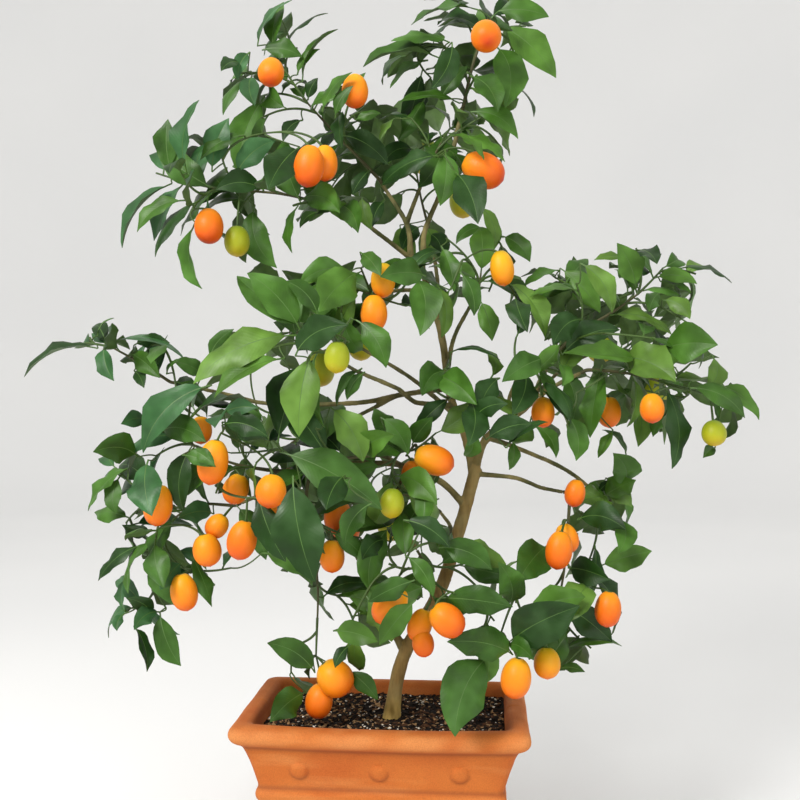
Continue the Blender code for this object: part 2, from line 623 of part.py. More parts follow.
def clear_scene():
    for thing in list(bpy.data.objects):
        bpy.data.objects.remove(thing, do_unlink=True)


def new_collection(name):
    group = bpy.data.collections.new(name)
    bpy.context.scene.collection.children.link(group)
    return group


def new_material(name, colour, roughness):
    finish = bpy.data.materials.new(name)
    finish.use_nodes = True
    finish.diffuse_color = (*colour, 1)
    shader = finish.node_tree.nodes["Principled BSDF"]
    shader.inputs["Base Color"].default_value = (*colour, 1)
    shader.inputs["Roughness"].default_value = roughness
    shader.inputs["Metallic"].default_value = 0.0
    return finish


def flatten_faces(mesh):
    """Splits the faces into triangles, because a bent face meets a Boolean in no one plane."""
    shape = bmesh.new()
    shape.from_mesh(mesh)
    bmesh.ops.triangulate(shape, faces=shape.faces)
    shape.to_mesh(mesh)
    shape.free()


def new_object(name, shape, finish, group):
    points, faces = shape
    mesh = bpy.data.meshes.new(name)
    mesh.from_pydata(points, [], faces)
    mesh.materials.append(finish)
    flatten_faces(mesh)
    thing = bpy.data.objects.new(name, mesh)
    group.objects.link(thing)
    return thing


def shade(thing):
    thing.data.shade_smooth()
    thing.data.set_sharp_from_angle(angle=SMOOTH_ANGLE)


def evaluated_mesh(thing):
    bpy.context.view_layer.update()
    graph = bpy.context.evaluated_depsgraph_get()
    return bpy.data.meshes.new_from_object(thing.evaluated_get(graph))


def combine(body, others, operation, group):
    """One applied Boolean of the body with all the others, which are then removed."""
    operands = new_collection(body.name + "_operands")
    for other in others:
        group.objects.unlink(other)
        operands.objects.link(other)
    step = body.modifiers.new("combine", "BOOLEAN")
    step.operation = operation
    step.operand_type = "COLLECTION"
    step.collection = operands
    step.solver = "EXACT"
    step.material_mode = "TRANSFER"
    mesh = evaluated_mesh(body)
    body.modifiers.remove(step)
    body.data = mesh
    for other in others:
        bpy.data.objects.remove(other)
    bpy.data.collections.remove(operands)
    keep_largest(mesh)


def skin_area(skin):
    faces = {face for corner in skin for face in corner.link_faces}
    return sum(face.calc_area() for face in faces)


def keep_largest(mesh):
    """Drops loose scraps and sealed hollows: each is a skin apart from the body's own."""
    shape = bmesh.new()
    shape.from_mesh(mesh)
    left = set(shape.verts)
    skins = []
    while left:
        skin = [left.pop()]
        for corner in skin:
            near = [edge.other_vert(corner) for edge in corner.link_edges]
            fresh = [other for other in near if other in left]
            left.difference_update(fresh)
            skin.extend(fresh)
        skins.append(skin)
    skins.sort(key=skin_area)
    spare = [corner for skin in skins[:-1] for corner in skin]
    bmesh.ops.delete(shape, geom=spare, context="VERTS")
    shape.to_mesh(mesh)
    shape.free()


def limb_object(limb, name, finish, group):
    """A limb is a bevelled curve, made a mesh with its caps welded."""
    curve = bpy.data.curves.new(name, "CURVE")
    curve.dimensions = "3D"
    curve.bevel_depth = 1
    curve.bevel_resolution = TRUNK_ROUNDNESS if limb.name == "trunk" else BOUGH_ROUNDNESS
    curve.use_fill_caps = True
    spline = curve.splines.new("POLY")
    spline.points.add(len(limb.path) - 1)
    for point, middle, radius in zip(spline.points, limb.path, limb.radii):
        point.co = (*middle, 1)
        point.radius = radius
    guide = bpy.data.objects.new(name, curve)
    group.objects.link(guide)
    mesh = evaluated_mesh(guide)
    place_of_guide = guide.matrix_world.copy()
    bpy.data.objects.remove(guide)
    bpy.data.curves.remove(curve)
    shape = bmesh.new()
    shape.from_mesh(mesh)
    bmesh.ops.remove_doubles(shape, verts=shape.verts, dist=0.01 * MM)
    bmesh.ops.recalc_face_normals(shape, faces=shape.faces)
    bmesh.ops.triangulate(shape, faces=shape.faces)
    shape.to_mesh(mesh)
    shape.free()
    mesh.materials.clear()
    mesh.materials.append(finish)
    solid = bpy.data.objects.new(name, mesh)
    solid.matrix_world = place_of_guide
    group.objects.link(solid)
    return solid


def cut_flat_foot(trunk):
    """Cuts the trunk level with the soil, and closes the cut."""
    shape = bmesh.new()
    shape.from_mesh(trunk.data)
    level = Vector((0, 0, SOIL_Z + CLEAR))
    every = shape.verts[:] + shape.edges[:] + shape.faces[:]
    cut = bmesh.ops.bisect_plane(shape, geom=every, plane_co=level, plane_no=UP, clear_inner=True)
    rim = [edge for edge in cut["geom_cut"] if isinstance(edge, bmesh.types.BMEdge)]
    bmesh.ops.contextual_create(shape, geom=rim)
    bmesh.ops.recalc_face_normals(shape, faces=shape.faces)
    shape.to_mesh(trunk.data)
    shape.free()


def build_limbs(limbs, finishes, group):
    """Each limb, cut 0.3 mm clear of the earlier limbs that it grows out of."""
    built = []
    for limb in limbs.values():
        body = limb_object(limb, limb.name, finishes["bark"], group)
        if limb.name == "trunk":
            cut_flat_foot(body)
        skin = BVHTree.FromPolygons(*tube(limb.path, limb.radii, 6))
        cutters = []
        for other in built:
            fat = fattened(other)
            if skin.overlap(BVHTree.FromPolygons(*tube(fat.path, fat.radii, 6))):
                cutters.append(limb_object(fat, "limb_cutter", finishes["bark"], group))
        if cutters:
            combine(body, cutters, "DIFFERENCE", group)
        shade(body)
        built.append(limb)


def fattened(limb):
    """The limb grown all round by the gap that touching meshes keep."""
    first, last = limb.path[0], limb.path[-1]
    before = (first - limb.path[1]).normalized() * CLEAR
    after = (last - limb.path[-2]).normalized() * CLEAR
    path = [first + before, *limb.path[1:-1], last + after]
    return Branch(limb.name, path, [radius + CLEAR for radius in limb.radii])


def twig_shape(path, radii):
    """A three-sided twig, thinner at its root, which lies inside a twig as thin as itself."""
    return tube(path, [radii[0] * TWIG_ROOT, *radii[1:]], TWIG_SIDES)


def leaf_shape(leaf):
    """A leaf of six faces, flat above and keeled below, from its root on the twig's middle line."""
    middle, _, across, up = midrib(leaf, LEAF_WIDEST)
    half = across * leaf.width / 2 * LEAF_WIDEN
    points = [leaf.base, middle + half, middle - up * LEAF_THICK, middle - half, midrib(leaf, 1)[0]]
    faces = [(0, 2, 1), (0, 3, 2), (0, 1, 3), (4, 1, 2), (4, 2, 3), (4, 3, 1)]
    return points, faces


def egg_object(name, middle, axis, wide, long, finish, group):
    """A round body stretched or flattened along its axis."""
    shape = bmesh.new()
    turn = axis.to_track_quat("Z", "Y").to_matrix().to_4x4()
    size = Matrix.Diagonal((wide / 2, wide / 2, long / 2, 1))
    bmesh.ops.create_uvsphere(
        shape, u_segments=EGG_SIDES, v_segments=EGG_RINGS, radius=1,
        matrix=Matrix.Translation(middle) @ turn @ size,
    )
    mesh = bpy.data.meshes.new(name)
    shape.to_mesh(mesh)
    shape.free()
    mesh.materials.append(finish)
    egg = bpy.data.objects.new(name, mesh)
    group.objects.link(egg)
    return egg


def build_masses(branches, berries, leaves, finishes, group):
    """Each mass: its stem, shoots, stalks, fruit and leaves, fused into one body."""
    for mass in MASSES:
        stem, *shoots = branches[mass.name]
        wood, green = finishes["twig"], finishes["leaf"]
        body = new_object(mass.name, tube(stem.path, stem.radii, STEM_SIDES), wood, group)
        parts = []
        for shoot in shoots:
            parts.append(new_object("shoot", twig_shape(shoot.path, shoot.radii), wood, group))
        for berry in berries:
            if berry.mass == mass.name:
                skin = finishes["ripe" if berry.ripe > 0.5 else "unripe"]
                size = berry.wide, berry.long
                parts.append(egg_object("fruit", berry.middle, berry.axis, *size, skin, group))
                radii = [STALK_THICK * MM / 2] * len(berry.stalk)
                parts.append(new_object("stalk", twig_shape(berry.stalk, radii), wood, group))
        for leaf in leaves:
            if leaf.mass == mass.name:
                parts.append(new_object("leaf", leaf_shape(leaf), green, group))
        combine(body, parts, "UNION", group)
        shade(body)


def rounded_rectangle(inset, down, grow=0.0):
    """The pot's outline at a height, counterclockwise from above. The inset is in millimetres."""
    half_x = (RIM_LONG / 2 - inset) * MM + grow
    half_y = (RIM_SHORT / 2 - inset) * MM + grow
    radius = (CORNER - inset * 0.1) * MM + grow
    outline = []
    for quarter, (x_side, y_side) in enumerate(((1, 1), (-1, 1), (-1, -1), (1, -1))):
        for step in range(CORNER_STEPS + 1):
            angle = math.pi / 2 * (quarter + step / CORNER_STEPS)
            x = x_side * (half_x - radius) + radius * math.cos(angle)
            y = y_side * (half_y - radius) + radius * math.sin(angle)
            outline.append(Vector((x, y, (POT_HEIGHT - down) * MM)))
    return outline


def stud_object(middle, outward, finish, group):
    """A low round boss on the pot's neck, which leans outward as it rises."""
    facing = outward * math.cos(NECK_LEAN) - UP * math.sin(NECK_LEAN)
    return egg_object("stud", middle, facing, STUD_RADIUS * 2 * MM, STUD_RISE * 2 * MM, finish, group)


def build_pot(finishes, group, cutters):
    rings = [rounded_rectangle(inset, down) for down, inset in POT_OUTSIDE + POT_INSIDE]
    clay = finishes["terracotta"]
    pot = new_object("pot", loft(rings), clay, group)
    height = (POT_HEIGHT - STUD_DOWN) * MM
    front = (RIM_SHORT / 2 - STUD_INSET) * MM
    end = (RIM_LONG / 2 - STUD_INSET) * MM
    studs = []
    for side in (-1, 1):
        for step in (-1, 0, 1):
            middle = Vector((step * STUD_GAP * MM, side * front, height))
            studs.append(stud_object(middle, Vector((0, side, 0)), clay, group))
        for step in (-0.5, 0.5):
            middle = Vector((side * end, step * STUD_GAP * MM, height))
            studs.append(stud_object(middle, Vector((side, 0, 0)), clay, group))
    combine(pot, studs, "UNION", group)
    for side in (-1, 1):
        bpy.ops.mesh.primitive_cylinder_add(
            vertices=12, radius=DRAIN_RADIUS * MM, depth=4 * (POT_HEIGHT - POT_INSIDE[-1][0]) * MM,
            location=(side * DRAIN_ACROSS * MM, 0, 0),
        )
        drain = bpy.context.object
        drain.name = "drain_cutter"
        drain.display_type = "WIRE"
        drain.hide_render = True
        for holder in list(drain.users_collection):
            holder.objects.unlink(drain)
        cutters.objects.link(drain)
    holes = pot.modifiers.new("drain holes", "BOOLEAN")
    holes.operation = "DIFFERENCE"
    holes.operand_type = "COLLECTION"
    holes.collection = cutters
    holes.solver = "EXACT"
    shade(pot)


def build_soil(finishes, group):
    """The soil fills the pot to a flat top, clear of its walls and floor."""
    (high, high_inset), (low, low_inset) = POT_OUTSIDE[-1], POT_INSIDE[0]
    top_inset = high_inset + (low_inset - high_inset) * (SOIL_BELOW_RIM - high) / (low - high)
    floor, floor_inset = POT_INSIDE[-1]
    sides = reversed(POT_INSIDE[:-1])
    levels = [(floor - CLEAR / MM, floor_inset), *sides, (SOIL_BELOW_RIM, top_inset)]
    rings = [rounded_rectangle(inset, down, -CLEAR) for down, inset in levels]
    shade(new_object("soil", loft(rings), finishes["soil"], group))


def main():
    clear_scene()
    group = new_collection("kumquat_tree")
    cutters = new_collection("cutters")
    finishes = {
        "terracotta": new_material("terracotta", (0.56, 0.21, 0.075), 0.8),
        "soil": new_material("soil", (0.035, 0.024, 0.018), 0.95),
        "bark": new_material("bark", (0.21, 0.13, 0.06), 0.85),
        "twig": new_material("twig", (0.09, 0.13, 0.03), 0.6),
        "leaf": new_material("leaf", (0.035, 0.12, 0.03), 0.38),
        "ripe": new_material("ripe fruit", (0.9, 0.27, 0.01), 0.35),
        "unripe": new_material("unripe fruit", (0.42, 0.42, 0.03), 0.4),
    }
    limbs, branches, berries, leaves = grow_tree()
    build_pot(finishes, group, cutters)
    build_soil(finishes, group)
    build_limbs(limbs, finishes, group)
    build_masses(branches, berries, leaves, finishes, group)


if __name__ == "__main__":
    main()
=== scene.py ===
"""The looks of a kumquat tree in a moulded terracotta pot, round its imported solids.

Metres, +Z up, in the solids' frame: the origin is the centre of the pot's underside and the front is
towards -Y. The limbs become one mesh with the bark's relief. Each mass of foliage is grown again on
the solids' shoots. The leaves that the front shows whole come first, then others are set by rule, and
a mass's leaves, twigs and fruit are three pieces.
"""

import json
import math
import random
from collections import namedtuple

import bpy
import numpy as np
from mathutils import Matrix, Vector, noise
from mathutils.bvhtree import BVHTree

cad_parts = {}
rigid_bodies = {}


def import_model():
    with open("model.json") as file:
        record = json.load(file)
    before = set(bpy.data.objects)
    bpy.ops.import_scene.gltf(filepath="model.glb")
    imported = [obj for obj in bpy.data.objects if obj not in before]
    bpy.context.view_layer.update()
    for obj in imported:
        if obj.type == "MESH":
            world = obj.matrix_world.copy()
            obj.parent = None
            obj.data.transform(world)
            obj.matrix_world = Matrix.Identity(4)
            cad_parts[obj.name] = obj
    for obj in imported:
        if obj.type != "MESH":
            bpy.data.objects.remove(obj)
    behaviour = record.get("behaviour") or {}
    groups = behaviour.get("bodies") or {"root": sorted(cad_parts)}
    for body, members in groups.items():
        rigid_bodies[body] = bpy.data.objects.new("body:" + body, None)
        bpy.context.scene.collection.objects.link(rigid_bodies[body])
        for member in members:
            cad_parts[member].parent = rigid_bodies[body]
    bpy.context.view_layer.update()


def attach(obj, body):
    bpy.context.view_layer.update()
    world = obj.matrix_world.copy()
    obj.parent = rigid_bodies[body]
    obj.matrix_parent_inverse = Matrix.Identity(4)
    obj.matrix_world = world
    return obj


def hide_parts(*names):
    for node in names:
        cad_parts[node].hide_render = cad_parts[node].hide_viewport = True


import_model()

MM = 0.001
CLEAR = 0.3 * MM

# The pot, in millimetres. A moulding's points are (below the rim's top, inside the rim's outline).
POT_HEIGHT = 175
RIM_LONG = 282
RIM_SHORT = 182
CORNER = 10
POT_OUTSIDE = (
    (175, 35), (154, 34.5), (150, 39), (81, 28.6), (78, 25.2), (75, 22.8), (71, 21.8),
    (67, 22.6), (64, 25), (53, 22), (43, 19.2), (34, 16.2), (27, 13.8), (21, 11), (18.5, 7),
    (16.5, 3.2), (13, 0.9), (9, 0), (5, 1), (2, 3.6), (0, 8.5), (0, 16.5), (1.5, 19.5), (5, 21),
)
POT_INSIDE = ((20, 23), (52, 37))
STUD_RADIUS = 8.2
STUD_RISE = 3.6
STUD_DOWN = 44
STUD_GAP = 75
SOIL_BELOW_RIM = 16
SOIL_Z = (POT_HEIGHT - SOIL_BELOW_RIM) * MM

# The plan is drawn as seen from the front: millimetres across and up from the trunk's foot, measured
# against the trunk, and millimetres nearer to the eye than the trunk. A mass grows on its limb's bough
# and replaces the foliage solid of its name. It has places for its stem and its shoots' tips, its
# leaves' usual length, and its fruits as rows of the Fruit tuple.
FOOT_X = 5 * MM
TURN = math.radians(4.6)
EYE_DISTANCE = 1.0
EYE_ACROSS = 9 * MM
EYE_UP = 318 * MM
RIGHT = Vector((math.cos(TURN), math.sin(TURN), 0))
NEARER = Vector((math.sin(TURN), -math.cos(TURN), 0))
UP = Vector((0, 0, 1))
FOOT = Vector((FOOT_X, 0, SOIL_Z))

Limb = namedtuple("Limb", "name parent thick thin places")
Mass = namedtuple("Mass", "name limb stem tips leaf fruits")
Fruit = namedtuple("Fruit", "across up near wide long lean swing ripe")

LIMBS = (
    Limb("trunk", None, 14, 12.5,
         ((0, -4, 0), (2, 12, 0), (13, 63, 0), (49, 128, 0), (69, 191, 0), (85, 250, 0))),
    Limb("leader", "trunk", 9, 6.4,
         ((83, 243, 0), (74, 282, -4), (59, 324, -6), (50, 385, -8), (30, 452, -10))),
    Limb("right_bough", "trunk", 8.6, 5.2,
         ((83, 243, 0), (93, 276, 5), (119, 299, 15), (139, 316, 20), (157, 355, 30))),
    Limb("left_bough", "trunk", 7, 4.6,
         ((72, 212, 0), (50, 236, 10), (9, 253, 30), (-60, 254, 55), (-105, 248, 60))),
    Limb("low_left_bough", "trunk", 8.6, 4.2,
         ((14, 66, 0), (-10, 110, -8), (-24, 142, -14), (-49, 198, -10), (-65, 235, 5))),
    Limb("right_low_bough", "trunk", 5.2, 3.8,
         ((84, 244, 4), (125, 240, 20), (148, 231, 32), (172, 226, 40))),
    Limb("right_back_bough", "right_bough", 5.4, 3.6,
         ((98, 280, 6), (131, 268, -20), (177, 247, -35), (213, 218, -40))),
    Limb("right_arching_bough", "right_bough", 6, 4, ((132, 309, 18), (160, 330, 35), (190, 345, 45))),
    Limb("right_inner_bough", "right_bough", 5, 3.6, ((120, 300, 15), (118, 318, 35), (124, 335, 50))),
    Limb("top_bough", "leader", 5.8, 4.2,
         ((31, 448, -10), (34, 488, -8), (47, 519, -5), (61, 565, 0), (72, 610, 0))),
    Limb("upper_left_bough", "leader", 5.6, 4, ((31, 450, -10), (9, 468, 0), (-34, 501, 25))),
    Limb("high_left_bough", "upper_left_bough", 6, 4, ((20, 460, -6), (16, 493, -12), (-9, 534, -15))),
    Limb("upper_middle_bough", "high_left_bough", 5, 3.6,
         ((15, 494, -13), (25, 520, 4), (35, 545, 15))),
    Limb("centre_bough", "leader", 5, 3.6, ((38, 425, -9), (15, 428, 15), (-10, 425, 40))),
    Limb("centre_right_bough", "leader", 5.4, 3.6, ((55, 345, -7), (64, 383, 12), (84, 420, 22))),
    Limb("centre_left_bough", "leader", 5.6, 4,
         ((62, 312, -6), (24, 316, 25), (9, 328, 50), (-30, 345, 90))),
    Limb("fork_bough", "leader", 4.6, 3.4, ((60, 322, -6), (66, 326, 25), (62, 322, 50))),
    Limb("far_left_bough", "leader", 6, 3.6,
         ((57, 330, -6), (9, 323, -25), (-35, 315, -30), (-118, 314, -20), (-161, 323, -10), (-215, 335, 0))),
    Limb("left_inner_bough", "far_left_bough", 4.6, 3.6,
         ((5, 322, -26), (-36, 301, -40), (-80, 285, -45))),
    Limb("left_front_bough", "left_bough", 5, 3.6, ((9, 253, 30), (-8, 262, 65), (-25, 262, 95))),
    Limb("middle_bough", "left_bough", 4.4, 3.2, ((34, 247, 20), (32, 262, 32), (26, 270, 45))),
    Limb("front_hanging_bough", "left_bough", 4.4, 3,
         ((20, 250, 25), (8, 232, 50), (10, 200, 66), (26, 168, 74))),
    Limb("left_hanging_bough", "left_bough", 5, 3.6,
         ((-70, 253, 56), (-110, 232, 52), (-150, 215, 50))),
    Limb("back_upper_bough", "leader", 5.6, 3.8, ((46, 398, -8), (46, 440, -50), (40, 480, -85))),
    Limb("back_left_bough", "leader", 5.6, 3.8, ((66, 300, -5), (20, 340, -65), (-30, 370, -110))),
    Limb("back_right_bough", "right_bough", 5.6, 3.8,
         ((108, 291, 10), (140, 320, -45), (172, 350, -95))),
    Limb("back_low_bough", "trunk", 5.6, 3.8, ((62, 165, 0), (60, 190, -50), (50, 205, -90))),
)

MASSES = (
    Mass("top", "top", ((83, 657, 5), (100, 700, 12)),
         ((45, 678, 25), (135, 692, 20), (15, 662, 5), (88, 690, -60), (100, 655, 60), (60, 722, -10),
          (125, 728, -15), (125, 655, 0), (60, 650, 45), (40, 640, -20), (140, 665, 40)), 58,
         ((95, 682, 75, 31, 35, 0, 50, 1.0),)),
    Mass("upper_middle", "upper_middle", ((50, 575, 20),),
         ((20, 600, 15), (-5, 578, 45), (100, 605, 30), (85, 565, 45), (60, 590, -45), (45, 560, 60),
          (15, 560, -35), (110, 570, 10), (-15, 560, 10)), 56,
         ((92, 548, 45, 34, 45, -62, 0, 0.95),)),
    Mass("high_left", "high_left", ((-59, 588, -5), (-88, 620, 5)),
         ((-118, 668, 10), (-90, 672, -25), (-150, 645, 25), (-35, 630, 15), (-14, 605, -30),
          (-135, 620, -40), (-70, 610, 55), (-130, 600, 30), (-40, 580, -50), (-110, 700, -10)), 60,
         ((-120, 646, 55, 26, 30, 0, 25, 1.0), (-36, 627, 45, 26, 35, 0, 10, 0.95))),
    Mass("upper_left", "upper_left", ((-98, 522, 40), (-141, 527, 48), (-179, 530, 50)),
         ((-235, 545, 45), (-205, 580, 30), (-170, 565, 70), (-125, 585, 60), (-200, 505, 75),
          (-115, 500, 85), (-75, 560, 75), (-60, 515, -15), (-150, 545, -10), (-210, 545, 85),
          (-150, 510, 20), (-60, 510, 70)), 62,
         ((-82, 552, 85, 30, 42, 6, 0, 1.0), (-66, 555, 65, 26, 36, 0, 0, 1.0),
          (-182, 492, 80, 29, 36, 0, 10, 0.95), (-154, 477, 60, 26, 31, 0, 0, 0.25))),
    Mass("centre", "centre", ((-25, 425, 55),),
         ((-60, 440, 60), (-30, 450, 70), (15, 412, 70), (-50, 405, 85), (20, 445, 60), (-75, 415, 50),
          (0, 445, 20)), 62,
         ((-17, 405, 82, 27, 37, 0, 0, 1.0), (-8, 438, 78, 25, 35, 0, 0, 0.6))),
    Mass("centre_right", "centre_right", ((90, 445, 24),),
         ((55, 480, 30), (70, 455, 60), (118, 440, 45), (125, 465, 10), (105, 480, -20), (60, 430, 60),
          (125, 420, 50), (40, 455, 30), (95, 420, -25)), 60,
         ((111, 450, 62, 24, 36, -8, 0, 0.6),)),
    Mass("centre_left", "centre_left", ((-60, 362, 115), (-90, 378, 130)),
         ((-80, 405, 140), (-115, 405, 145), (-40, 400, 125), (-130, 365, 150), (-85, 350, 165),
          (-30, 372, 140), (-105, 380, 100), (-60, 385, 160)), 86,
         ((-54, 361, 170, 25, 32, 4, 0, 0.2),)),
    Mass("far_left", "far_left", ((-245, 352, 4), (-285, 374, 8)),
         ((-330, 375, 10), (-300, 392, -10), (-240, 385, 15), (-225, 370, 30), (-250, 345, -40),
          (-215, 330, 45)), 48,
         ()),
    Mass("left_inner", "left_inner", ((-100, 275, -40),),
         ((-130, 290, -30), (-120, 240, -40), (-70, 245, -20), (-150, 300, -15), (-60, 290, -75),
          (-110, 265, -90), (-160, 265, -60), (-60, 210, -20)), 62,
         ((-53, 201, 10, 28, 36, 0, 0, 1.0), (-121, 198, 20, 28, 34, 0, 0, 0.7))),
    Mass("left_front", "left_front", ((-60, 258, 115), (-95, 255, 125)),
         ((-75, 215, 145), (-110, 235, 140), (-40, 240, 150), (-120, 280, 120), (-75, 290, 115),
          (-135, 255, 115)), 86,
         ()),
    Mass("middle", "middle", ((15, 262, 62),),
         ((45, 285, 60), (-5, 275, 75), (0, 240, 75), (50, 262, 50), (20, 225, 95), (-20, 250, 55),
          (35, 225, 50)), 54,
         ((43, 258, 80, 31, 41, -72, 0, 1.0), (21, 243, 60, 22, 30, 0, 0, 1.0),
          (1, 215, 100, 25, 30, 5, 10, 0.15))),
    Mass("fork", "fork", ((55, 318, 70),),
         ((35, 335, 70), (75, 335, 85), (95, 315, 75), (45, 300, 95), (80, 290, 90), (55, 350, 50),
          (100, 340, 55)), 58,
         ()),
    Mass("left", "left", ((-148, 252, 70), (-180, 262, 75)),
         ((-215, 285, 70), (-190, 312, 50), (-150, 305, 85), (-235, 262, 80), (-175, 225, 115),
          (-130, 220, 125), (-140, 270, 115), (-200, 320, 90), (-170, 285, 130)), 64,
         ((-178, 256, 130, 30, 46, 10, 0, 0.95), (-155, 229, 85, 26, 31, 20, 0, 1.0),
          (-120, 227, 145, 30, 34, 8, 15, 0.95), (-149, 178, 125, 29, 40, 12, 0, 0.95),
          (-190, 288, 60, 22, 28, 0, 0, 1.0))),
    Mass("left_low", "left_hanging", ((-195, 213, 45), (-222, 195, 45)),
         ((-275, 250, 40), (-290, 225, 55), (-265, 195, 20), (-245, 160, 50), (-225, 110, 40),
          (-200, 145, 70), (-255, 110, 35), (-190, 180, 95), (-210, 165, -30), (-240, 240, 0),
          (-255, 215, 90), (-160, 150, 60), (-235, 180, 80)), 58,
         ((-233, 213, 95, 29, 42, 6, 0, 0.95), (-184, 168, 100, 28, 33, -12, 0, 1.0),
          (-174, 192, 90, 23, 26, 35, 0, 1.0), (-207, 126, 85, 27, 38, -10, 0, 0.95))),
    Mass("low_left", "low_left",
         ((-82, 238, 24), (-84, 205, 34), (-76, 160, 32), (-73, 125, 30), (-74, 92, 30)),
         ((-75, 62, 28), (-38, 122, 30), (-35, 85, 35), (-105, 72, 25), (-50, 155, -40),
          (-95, 150, -35), (-60, 185, 60), (-95, 185, 40), (-100, 45, 20), (-30, 180, 30)), 56,
         ((-56, 40, 40, 35, 39, -38, 0, 1.0), (-72, 17, 34, 27, 35, 8, 0, 0.85),
          (-59, 162, 60, 25, 33, 0, 0, 1.0))),
    Mass("lower_middle", "front_hanging", ((38, 140, 80), (40, 118, 88)),
         ((-20, 165, 90), (-25, 125, 95), (75, 155, 70), (95, 120, 80), (10, 130, 130), (65, 125, 125),
          (105, 95, 95), (30, 190, 110), (-40, 95, 85), (0, 180, 60), (85, 80, 90), (60, 175, 100)), 64,
         ((-1, 113, 118, 31, 43, 40, 0, 0.85), (29, 93, 95, 24, 34, 20, 0, 1.0),
          (56, 98, 125, 32, 39, -48, 0, 1.0), (32, 75, 100, 22, 28, -10, 0, 1.0))),
    Mass("right", "right", ((193, 388, 35), (228, 410, 35), (252, 428, 30)),
         ((272, 450, 20), (245, 470, 35), (315, 440, 25), (290, 400, 55), (185, 435, 45),
          (150, 405, 60), (215, 385, 75), (325, 385, 20), (235, 425, -40), (190, 400, -40),
          (170, 375, 75), (260, 380, 80), (165, 440, 10), (300, 420, -25)), 57,
         ()),
    Mass("right_arching", "right_arching", ((235, 345, 50), (275, 335, 52)),
         ((335, 318, 45), (350, 330, 20), (300, 355, 60), (250, 365, 75), (215, 340, 85),
          (290, 320, 5), (245, 330, -10), (210, 310, 40), (300, 325, 85), (185, 325, 70)), 64,
         ((218, 306, 25, 24, 31, 0, 0, 1.0), (261, 310, 90, 24, 30, 0, 10, 0.95),
          (323, 285, 70, 25, 26, 0, 15, 0.2))),
    Mass("right_inner", "right_inner", ((134, 348, 60),),
         ((110, 360, 70), (160, 355, 80), (150, 320, 85), (115, 325, 95), (180, 335, 5),
          (125, 380, 50), (90, 350, 80), (140, 300, 20)), 60,
         ((152, 306, 66, 23, 31, 0, 0, 1.0),)),
    Mass("right_back", "right_back", ((222, 225, -38),),
         ((236, 262, -35), (238, 225, -20), (215, 240, -75), (252, 212, -55), (215, 262, -20)), 50,
         ()),
    Mass("lower_right", "right_low", ((176, 180, 42), (172, 140, 44), (165, 105, 48)),
         ((235, 185, 45), (255, 150, 40), (130, 165, 60), (210, 198, 20), (235, 100, 35),
          (125, 115, 80), (110, 85, 90), (200, 70, 45), (190, 140, -20), (150, 125, 0), (205, 130, 70),
          (140, 90, 105), (100, 65, 100), (170, 100, 105)), 66,
         ((184, 225, 55, 21, 28, 10, 0, 1.0), (168, 168, 90, 27, 39, 8, 0, 1.0),
          (176, 180, 66, 23, 30, -20, 0, 1.0), (217, 109, 80, 26, 36, 6, 0, 0.95),
          (125, 40, 100, 31, 41, 8, 0, 1.0), (156, 55, 85, 27, 31, 0, 10, 0.35))),
    Mass("back_upper", "back_upper", ((30, 520, -120), (25, 550, -140)),
         ((-25, 560, -140), (60, 590, -150), (70, 540, -130), (0, 520, -170), (-30, 600, -130),
          (40, 500, -150), (20, 600, -190), (-60, 530, -90)), 62,
         ((36, 560, -170, 28, 36, 0, -10, 0.2), (72, 518, -160, 28, 36, 0, 0, 0.25))),
    Mass("back_left", "back_left", ((-70, 385, -140), (-110, 385, -150)),
         ((-150, 365, -150), (-130, 300, -170), (-60, 420, -160), (-110, 360, -200), (-50, 360, -190),
          (-80, 310, -170), (-20, 400, -150), (-110, 420, -120)), 64,
         ((-70, 350, -175, 28, 37, 0, 0, 0.2), (-95, 318, -190, 28, 36, 0, 0, 0.9),
          (-30, 375, -170, 27, 35, 0, 0, 0.25))),
    Mass("back_right", "back_right", ((205, 365, -130), (235, 368, -150)),
         ((285, 350, -140), (260, 400, -150), (200, 400, -150), (240, 330, -180), (200, 340, -185),
          (180, 375, -160), (290, 320, -110), (170, 410, -100)), 62,
         ((209, 373, -165, 28, 36, 0, 0, 0.2), (262, 325, -160, 28, 36, 0, 0, 0.25))),
    Mass("back_low", "back_low", ((20, 222, -125), (-15, 222, -145)),
         ((-60, 200, -150), (-40, 250, -160), (0, 190, -170), (50, 220, -150), (0, 250, -185),
          (30, 170, -130), (-30, 170, -130), (-95, 220, -120), (60, 190, -90)), 62,
         ((0, 195, -160, 28, 36, 0, 0, 0.2), (-45, 190, -150, 28, 36, 0, 0, 0.95))),
)

# Openings in the crown that show sky from the front: across, up, half width, half height.
OPEN_SKY = (
    (-265, 432, 85, 32), (-72, 474, 42, 18), (27, 516, 14, 20), (200, 590, 62, 85), (160, 478, 36, 18),
    (75, 388, 17, 26), (25, 368, 15, 20), (-15, 333, 40, 12), (-135, 335, 34, 12), (125, 212, 42, 32),
    (-130, 95, 52, 42), (-52, 146, 20, 13), (-58, 75, 16, 14), (62, 141, 15, 9), (40, 62, 36, 9),
    (-300, 325, 60, 34), (-62, 665, 34, 26), (-240, 640, 62, 36), (160, 410, 6, 6), (205, 268, 12, 16),
    (285, 200, 40, 70), (-330, 160, 38, 60), (0, 690, 26, 12), (280, 85, 40, 62), (140, 135, 16, 28),
    (324, 398, 13, 30), (261, 92, 30, 52),
)

